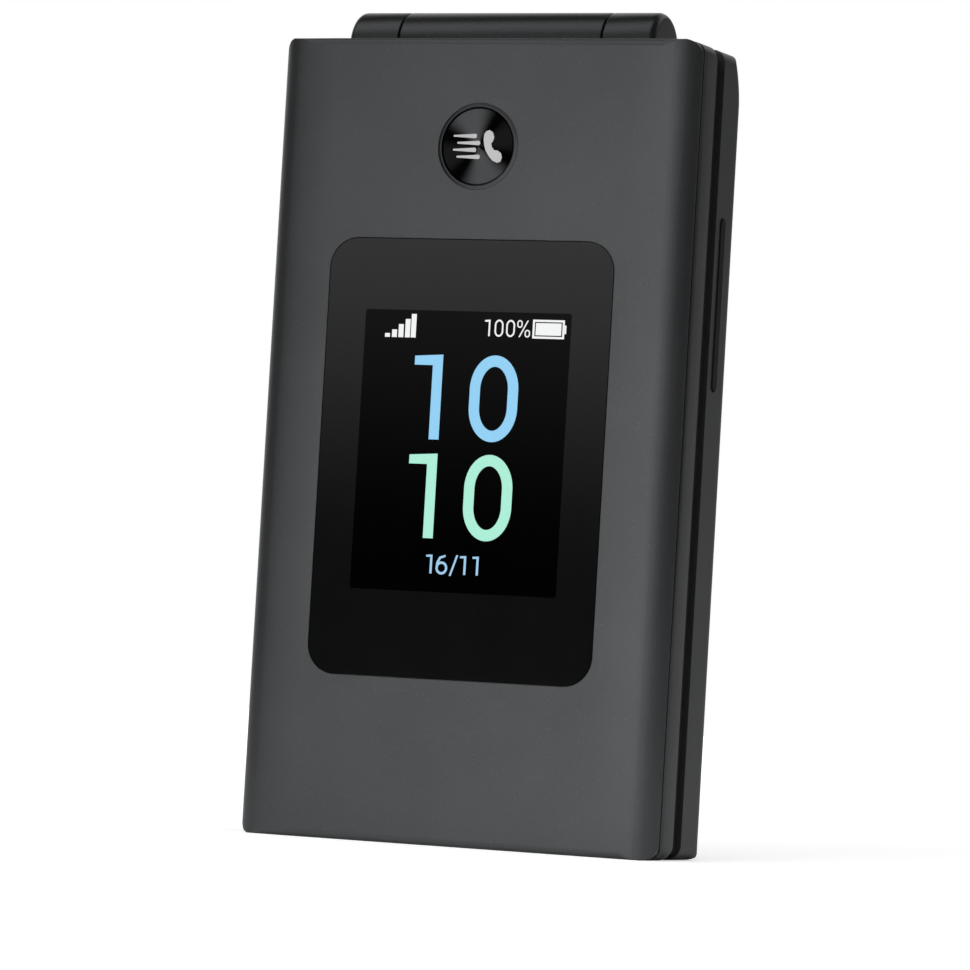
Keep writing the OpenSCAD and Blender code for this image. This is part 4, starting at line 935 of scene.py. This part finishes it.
def key_sign(sign):
    """A key's sign. The font's 1 is a bare stroke, so the 1 is drawn with its flag, as on the displays."""
    if sign == "1":
        return drawn(PRINT_T, (draw_one, ONE_RIGHT, -DIGIT_H / 2, DIGIT_H, ONE_STROKE))
    return text_drawing(sign, STAR_H if sign == "*" else DIGIT_H)


for node, sign in zip(NUMBER_KEYS, "0123456789*#"):
    print_on(node, key_sign(sign))
for node, slot, lean in (("call_key", "key_call", 0), ("end_key", "key_end", 118)):
    print_on(node, drawn(PRINT_T, (draw_outline, turned_points(HANDSET, lean, HANDSET_MIDDLE))))
lines = ((0.0, step * LINE_PITCH, LINE_LENGTH, LINE_WIDTH) for step in (1, 0, -1))
print_on("soft_key_left", panels(*lines, depth=PRINT_T))
print_on("soft_key_right", drawn(PRINT_T, (draw_outline, BACK_ARROW)))
arrows = ((draw_outline, turned_points(ARROW, degrees)) for degrees in (0, 90, 180, 270))
print_on("nav_rocker", drawn(PRINT_T, *arrows), dark_print)
print_on("ok_key", drawn(PRINT_T, (draw_ring, 0.0, 0.0, OK_RING, OK_RING, OK_STROKE)), dark_print)

# %% [markdown]
# ## Screws and the camera
# A cross-head screw has a cross stamped into its head. Here a thin plate with a cross-shaped opening lies on
# each head, so the cross is a real hollow. The camera's window gets a sloped rim and a sunken field, on which
# a lens in its ring and a lamp under a ribbed pane stand.

# %% Stamp the screws
CROSS_R, CROSS_REACH, CROSS_HALF, CROSS_T = 1.22, 0.85, 0.2, 0.1
CROSS_ARC = 8
WELD_MM = 1e-4
LID_HEAD_Y, HOUSING_HEAD_Y = -0.52, 8.0
LID_SCREWS = [(s * 23.5, -z) for s in (-1, 1) for z in (5.6, 86.4)]
HOUSING_SCREWS = [(s * x, z) for s in (-1, 1) for x, z in ((9.5, 77.2), (20.6, 52.65))]


def quarter_circle(wide, high, steps):
    """Points from the X axis up to the Y axis on a quarter of an ellipse."""
    angles = (step * math.pi / 2 / steps for step in range(steps + 1))
    return [(wide * math.cos(a), high * math.sin(a)) for a in angles]


def cross_plate(drawing, x, y):
    """A round plate with a cross-shaped opening, drawn as four quarters that join in its rim."""
    quarter = [(CROSS_HALF, CROSS_HALF), (CROSS_REACH, CROSS_HALF), (CROSS_REACH, 0.0),
               *quarter_circle(CROSS_R, CROSS_R, CROSS_ARC), (0.0, CROSS_REACH), (CROSS_HALF, CROSS_REACH)]
    for degrees in (0, 90, 180, 270):
        draw_outline(drawing, turned_points(quarter, degrees, to=(x, y)))
    bmesh.ops.remove_doubles(drawing, verts=drawing.verts, dist=WELD_MM)


for name, body, face, y, places in (("lid_screw_crosses", "lid", INSIDE_LID, LID_HEAD_Y, LID_SCREWS),
                                    ("housing_screw_crosses", "base", BACK, HOUSING_HEAD_Y, HOUSING_SCREWS)):
    crosses = drawn(CROSS_T, *((cross_plate, *place) for place in places))
    place_drawing(crosses, name, body, plated_steel, face, (0.0, y, 0.0))

# %% [markdown]
# A battery that its owner can change shows which way round it goes in. A pale film on its wrap carries a plus
# and a minus beside the contacts, and a dark line frames the film. Nothing else is printed on it.

# %% Label the battery
BATTERY_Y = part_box("battery")[1].y / MM
LABEL_SIZE, LABEL_Z, LABEL_T, LABEL_R = (27.0, 40.0), 32.4, 0.02, 1.5
FRAME_IN, FRAME_STROKE = 1.2, 0.35
POLE_X, POLE_Y, POLE_HALF, POLE_STROKE = 4.5, 15.8, 1.5, 0.35
PLUS = ((-1, -POLE_STROKE), (-POLE_STROKE, -POLE_STROKE), (-POLE_STROKE, -1), (POLE_STROKE, -1),
        (POLE_STROKE, -POLE_STROKE), (1, -POLE_STROKE))

label_film = moulding("label_film", 0.50, 0.42, texture_mm=0.3, depth_mm=0.002)
place_drawing(panels((0.0, 0.0, *LABEL_SIZE), radius=LABEL_R, depth=LABEL_T), "battery_label", "base", label_film,
              BACK, (0.0, BATTERY_Y, LABEL_Z))
w, h = LABEL_SIZE[0] / 2 - FRAME_IN, LABEL_SIZE[1] / 2 - FRAME_IN
plus = [(POLE_X + side * x * POLE_HALF, POLE_Y + side * y * POLE_HALF) for side in (1, -1) for x, y in PLUS]
signs = drawn(LABEL_T + PRINT_T, (draw_frame, -w, -h, w, h, FRAME_STROKE), (draw_outline, plus),
              (draw_panel, -POLE_X, POLE_Y, 2 * POLE_HALF, 2 * POLE_HALF * POLE_STROKE))
place_drawing(signs, "battery_signs", "base", dark_print, BACK, (0.0, BATTERY_Y, LABEL_Z))

# %% Finish the camera
CAMERA_Z = 88.5
LENS_X, LAMP_X = -4.4, 4.6
RIM_WIDTH, RIM_DROP = 0.55, 0.14
FIELD_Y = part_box("camera_window")[1].y / MM - RIM_DROP
BLOOM_FROM, BLOOM_TO = 0.6, 2.4
BLOOM_MIDDLE, BLOOM_EDGE = (0.012, 0.010, 0.035, 1.0), (0.002, 0.004, 0.010, 1.0)
LENS_R, LENS_RISE, LENS_STEPS, LENS_TURNS = 1.95, 0.12, 6, 48
LENS_RINGS = (("lens_ring", 6.4, 0.5, 0.12), ("lens_step", 4.4, 0.25, 0.05))
LAMP_SIZE, LAMP_R, LAMP_T = 2.7, 0.5, 0.05
RIB_PITCH, RIB_LENGTH, RIB_WIDTH, RIB_T = 0.4, 2.1, 0.16, 0.08

drawing = joined_copy("camera_window")
top =max(drawing.faces, key=lambda f: f.calc_center_median().y)
bmesh.ops.inset_individual(drawing, faces=[top], thickness=RIM_WIDTH * MM, depth=-RIM_DROP * MM,
                           use_even_offset=True)
camera_pane = keep_piece(drawing, "camera_window_rimmed", "base", window_glass, smooth_to=20)
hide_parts("camera_window")

lens_glass = Recipe("lens_glass")
x, z = lens_glass.coordinate("X") - LENS_X * MM, lens_glass.coordinate("Z") - CAMERA_Z * MM
out = lens_glass.sum("SQRT", x * x + z * z)
bloom = lens_glass.mix(lens_glass.step(out, BLOOM_FROM * MM, BLOOM_TO * MM), BLOOM_MIDDLE, BLOOM_EDGE)
lens_finish = lens_glass.finish(base_color=bloom, roughness=0.04 + 0.03 * lens_glass.grain(2.0), coat_weight=0.6,
                                coat_roughness=0.02)
lamp_pane = moulding("lamp_pane", 0.62, 0.22, texture_mm=0.4, depth_mm=0.02)


def spun_cap(radius, rise):
    """A shallow dome about the origin, flat below, that rises towards the viewer."""
    drawing = bmesh.new()
    profile = [drawing.verts.new((x, 0.0, z)) for x, z in quarter_circle(radius, rise, LENS_STEPS)]
    profile.append(drawing.verts.new((0.0, 0.0, 0.0)))
    loop = [drawing.edges.new((a, b)) for a, b in zip(profile, profile[1:])]
    loop.append(drawing.edges.new((profile[-1], profile[0])))
    bmesh.ops.spin(drawing, geom=profile + loop, cent=(0, 0, 0), axis=(0, 0, 1), angle=2 * math.pi,
                   steps=LENS_TURNS, use_merge=True)
    bmesh.ops.remove_doubles(drawing, verts=drawing.verts, dist=WELD_MM)
    empty = [f for f in drawing.faces if f.calc_area() < 1e-9]
    bmesh.ops.delete(drawing, geom=empty, context="FACES")
    return drawing


def on_back(drawing, name, finish, x, smooth_to=0):
    """Puts a drawing on the camera window's sunken field."""
    place_drawing(drawing, name, "base", finish, BACK, (x, FIELD_Y, CAMERA_Z), smooth_to=smooth_to)


for name, width, stroke, depth in LENS_RINGS:
    on_back(drawn(depth, (draw_ring, 0.0, 0.0, width, width, stroke)), name, ring_metal, LENS_X)
on_back(spun_cap(LENS_R, LENS_RISE), "lens", lens_finish, LENS_X, smooth_to=40)
pane = panels((0.0, 0.0, LAMP_SIZE, LAMP_SIZE), radius=LAMP_R, depth=LAMP_T)
ribs = panels(*((0.0, rib * RIB_PITCH, RIB_LENGTH, RIB_WIDTH) for rib in range(-2, 3)), depth=RIB_T)
for drawing, name in ((pane, "lamp_pane"), (ribs, "lamp_ribs")):
    on_back(drawing, name, lamp_pane, LAMP_X)

# %% [markdown]
# ## Floor and background
# The phone stands on a plain pale floor in front of white. To the camera, and in reflections, the world is
# white at a strength of 1, but it lights the object at a lower, plain level. The Light Path node tells these
# kinds of ray apart. For the camera alone the floor also glows, and more so further out, so that it runs into
# the white behind it without a line.

# %% World and floor
AMBIENT = 0.35


def light_path_share(tree, names):
    """1 for the named kinds of ray, 0 for the others."""
    rays = tree.nodes.new("ShaderNodeLightPath")
    total = rays.outputs[names[0]]
    for name in names[1:]:
        either = tree.nodes.new("ShaderNodeMath")
        either.operation = "MAXIMUM"
        tree.links.new(total, either.inputs[0])
        tree.links.new(rays.outputs[name], either.inputs[1])
        total = either.outputs[0]
    return total


def choose_by_ray(tree, names, usual, seen, end):
    """Ends a shader tree that is one thing to the named kinds of ray and the usual one to the rest."""
    choose = tree.nodes.new("ShaderNodeMixShader")
    for socket, value in enumerate((light_path_share(tree, names), usual, seen)):
        tree.links.new(value, choose.inputs[socket])
    tree.links.new(choose.outputs[0], end.inputs["Surface"])


world = bpy.data.worlds.new("white_studio")
bpy.context.scene.world = world
world.use_nodes = True
tree = world.node_tree
tree.nodes.clear()
ambient, white = (tree.nodes.new("ShaderNodeBackground") for part in range(2))
for part, strength in ((ambient, AMBIENT), (white, 1.0)):
    part.inputs["Color"].default_value = grey(1.0)
    part.inputs["Strength"].default_value = strength
choose_by_ray(tree, ["Is Camera Ray", "Is Glossy Ray", "Is Transmission Ray"], ambient.outputs[0],
              white.outputs[0], tree.nodes.new("ShaderNodeOutputWorld"))

FLOOR_SIZE = 6.0
floor_finish = Recipe("floor_paper")
speckle = floor_finish.grain(30.0)
paper = floor_finish.mix(speckle, grey(0.84), grey(0.86))
reach = floor_finish.node("VectorMath", {"operation": "LENGTH"}, {0: floor_finish.place}, output="Value")
fading = floor_finish.step(reach, 0.15, 0.9)
floor_material = floor_finish.finish(base_color=paper, roughness=0.9, specular_ior_level=0.1)
shader = floor_finish.node_out.inputs["Surface"].links[0].from_socket
glow = floor_finish.node("Emission", {}, {"Strength": 0.5 + 0.5 * fading})
both = floor_finish.node("AddShader", {}, {0: Wire(floor_finish, shader), 1: glow})
choose_by_ray(floor_material.node_tree, ["Is Camera Ray"], shader, both.socket, floor_finish.node_out)

drawing = bmesh.new()
bmesh.ops.create_grid(drawing, x_segments=1, y_segments=1, size=FLOOR_SIZE / 2)
floor = put_drawing("floor", drawing, floor_material)
print("floor", FLOOR_SIZE, "m wide")

# %% [markdown]
# ## Lamps and flags
# Two large soft lamps light the phone, one from the front and one from above. A photographer also sets black
# cards, called flags, beside a dark object. The cards show in its rounded edges as dark lines, which draw its
# outline against the white. Here the cards are seen by reflections only, so they take no light away.

# %% Set the lamps
PHONE_MIDDLE = Vector((0.0, 0.0, 0.05))


def soft_lamp(name, at, size, watts):
    """A square area lamp that faces the phone and doesn't show in it. Places and sizes are in metres."""
    light = bpy.data.lights.new(name, "AREA")
    light.shape = "SQUARE"
    light.size = size
    light.energy = watts
    lamp = put(name, light)
    lamp.location = at
    lamp.rotation_euler = (PHONE_MIDDLE - Vector(at)).to_track_quat("-Z", "Y").to_euler()
    lamp.visible_glossy = False
    print(name, "stands at", at, "with", watts, "W")


soft_lamp("front_lamp", (-0.1, -0.8, 0.3), 0.5, 4.5)
soft_lamp("top_lamp", (0.1, -0.1, 0.9), 0.6, 2.0)

# %% Set the cards
CLOTH = {"base_color": grey(0.002), "roughness": 1.0, "specular_ior_level": 0.0}


def card_finish(name, low_level, high_level, low, high):
    """Card that goes from one level to another between two heights. It gives off what it seems to reflect."""
    recipe = Recipe(name)
    shade = recipe.mix(recipe.step(recipe.coordinate("Z"), low, high), grey(low_level), grey(high_level))
    return recipe.finish(**CLOTH, emission_color=shade, emission_strength=1.0)


def hang(name, drawing, cloth):
    """Makes a card from a drawing. Only reflections see it."""
    sheet = put_drawing(name, drawing, cloth)
    for ray in ("camera", "diffuse", "transmission", "shadow"):
        setattr(sheet, "visible_" + ray, False)
    print(name, "hangs with", len(sheet.data.polygons), "faces")


def card(name, azimuth, distance, width, low, high, levels, fade=(0.0, 1.0)):
    """An upright card at an angle from the phone's front, turned to face it."""
    drawing = bmesh.new()
    bmesh.ops.create_grid(drawing, x_segments=1, y_segments=1, size=0.5)
    bmesh.ops.scale(drawing, vec=(width, high - low, 1.0), verts=drawing.verts)
    turn = math.radians(azimuth)
    spot = Vector((math.sin(turn) * distance, -math.cos(turn) * distance, (low + high) / 2))
    bmesh.ops.transform(drawing, verts=drawing.verts,
                        matrix=Matrix.Translation(spot) @ Matrix.Rotation(turn, 4, "Z") @ LID_FACE.to_4x4())
    hang(name, drawing, card_finish(name + "_cloth", *levels, *fade))


card("left_flag", -72, 0.15, 0.22, -0.2, 0.19, (0.05, 0.05))
card("right_flag", 80, 0.14, 0.26, -0.2, 0.5, (0.03, 0.03))
card("rear_card", 152, 1.2, 1.4, -0.6, 1.4, (0.44, 0.15), (0.0, 0.38))
card("front_fade", -24, 1.5, 0.55, -0.3, 0.26, (0.0, 0.80), (0.07, 0.24))
card("near_card", -4, 0.25, 0.075, 0.0, 0.055, (1.7, 1.7))

# %% [markdown]
# The hinge barrel is a mirror for everything above the phone. A cloth vault over the set goes from pale at the
# front, over a dark fold, to a bright strip overhead, and is dark again behind it, so the barrel shows soft
# bands along its length. A small visor just above the phone's front keeps the upper part of its face darker.

# %% Hang the vault and the visor
VAULT_R, VAULT_Z, VAULT_HALF = 0.8, 0.1, 1.2
VAULT_SPAN = (18, 155)
VAULT_START = 1.0
VAULT_FOLDS = ((18, 33, -0.78), (42, 62, 0.54), (77, 99, -0.74), (113, 142, 0.62))
VAULT_ROWS = 36
VISOR_HALF, VISOR_FRONT, VISOR_BACK, VISOR_Z = 0.3, -0.3, -0.1, 0.16

cloth = Recipe("vault_cloth")
rise = cloth.sum("ARCTAN2", cloth.coordinate("Z") - VAULT_Z, -1 * cloth.coordinate("Y"))
level = VAULT_START
for start, end, change in VAULT_FOLDS:
    level = level + change * cloth.step(rise, math.radians(start), math.radians(end))
vault_cloth = cloth.finish(**CLOTH, emission_color=grey(1.0), emission_strength=level)
drawing = bmesh.new()
rows = []
for row in range(VAULT_ROWS + 1):
    turn = math.radians(VAULT_SPAN[0] + row * (VAULT_SPAN[1] - VAULT_SPAN[0]) / VAULT_ROWS)
    rows.append([drawing.verts.new((x, -VAULT_R * math.cos(turn), VAULT_Z + VAULT_R * math.sin(turn)))
                 for x in (-VAULT_HALF, VAULT_HALF)])
for lower, upper in zip(rows, rows[1:]):
    drawing.faces.new((lower[0], lower[1], upper[1], upper[0]))
hang("vault", drawing, vault_cloth)

drawing = bmesh.new()
draw_outline(drawing, [(-VISOR_HALF, VISOR_FRONT), (VISOR_HALF, VISOR_FRONT), (VISOR_HALF, VISOR_BACK),
                       (-VISOR_HALF, VISOR_BACK)])
bmesh.ops.translate(drawing, vec=(0.0, 0.0, VISOR_Z), verts=drawing.verts)
hang("visor", drawing, card_finish("visor_cloth", 0.3, 0.3, 0.0, 1.0))

# %% Colour management
bpy.context.scene.view_settings.view_transform = "Standard"
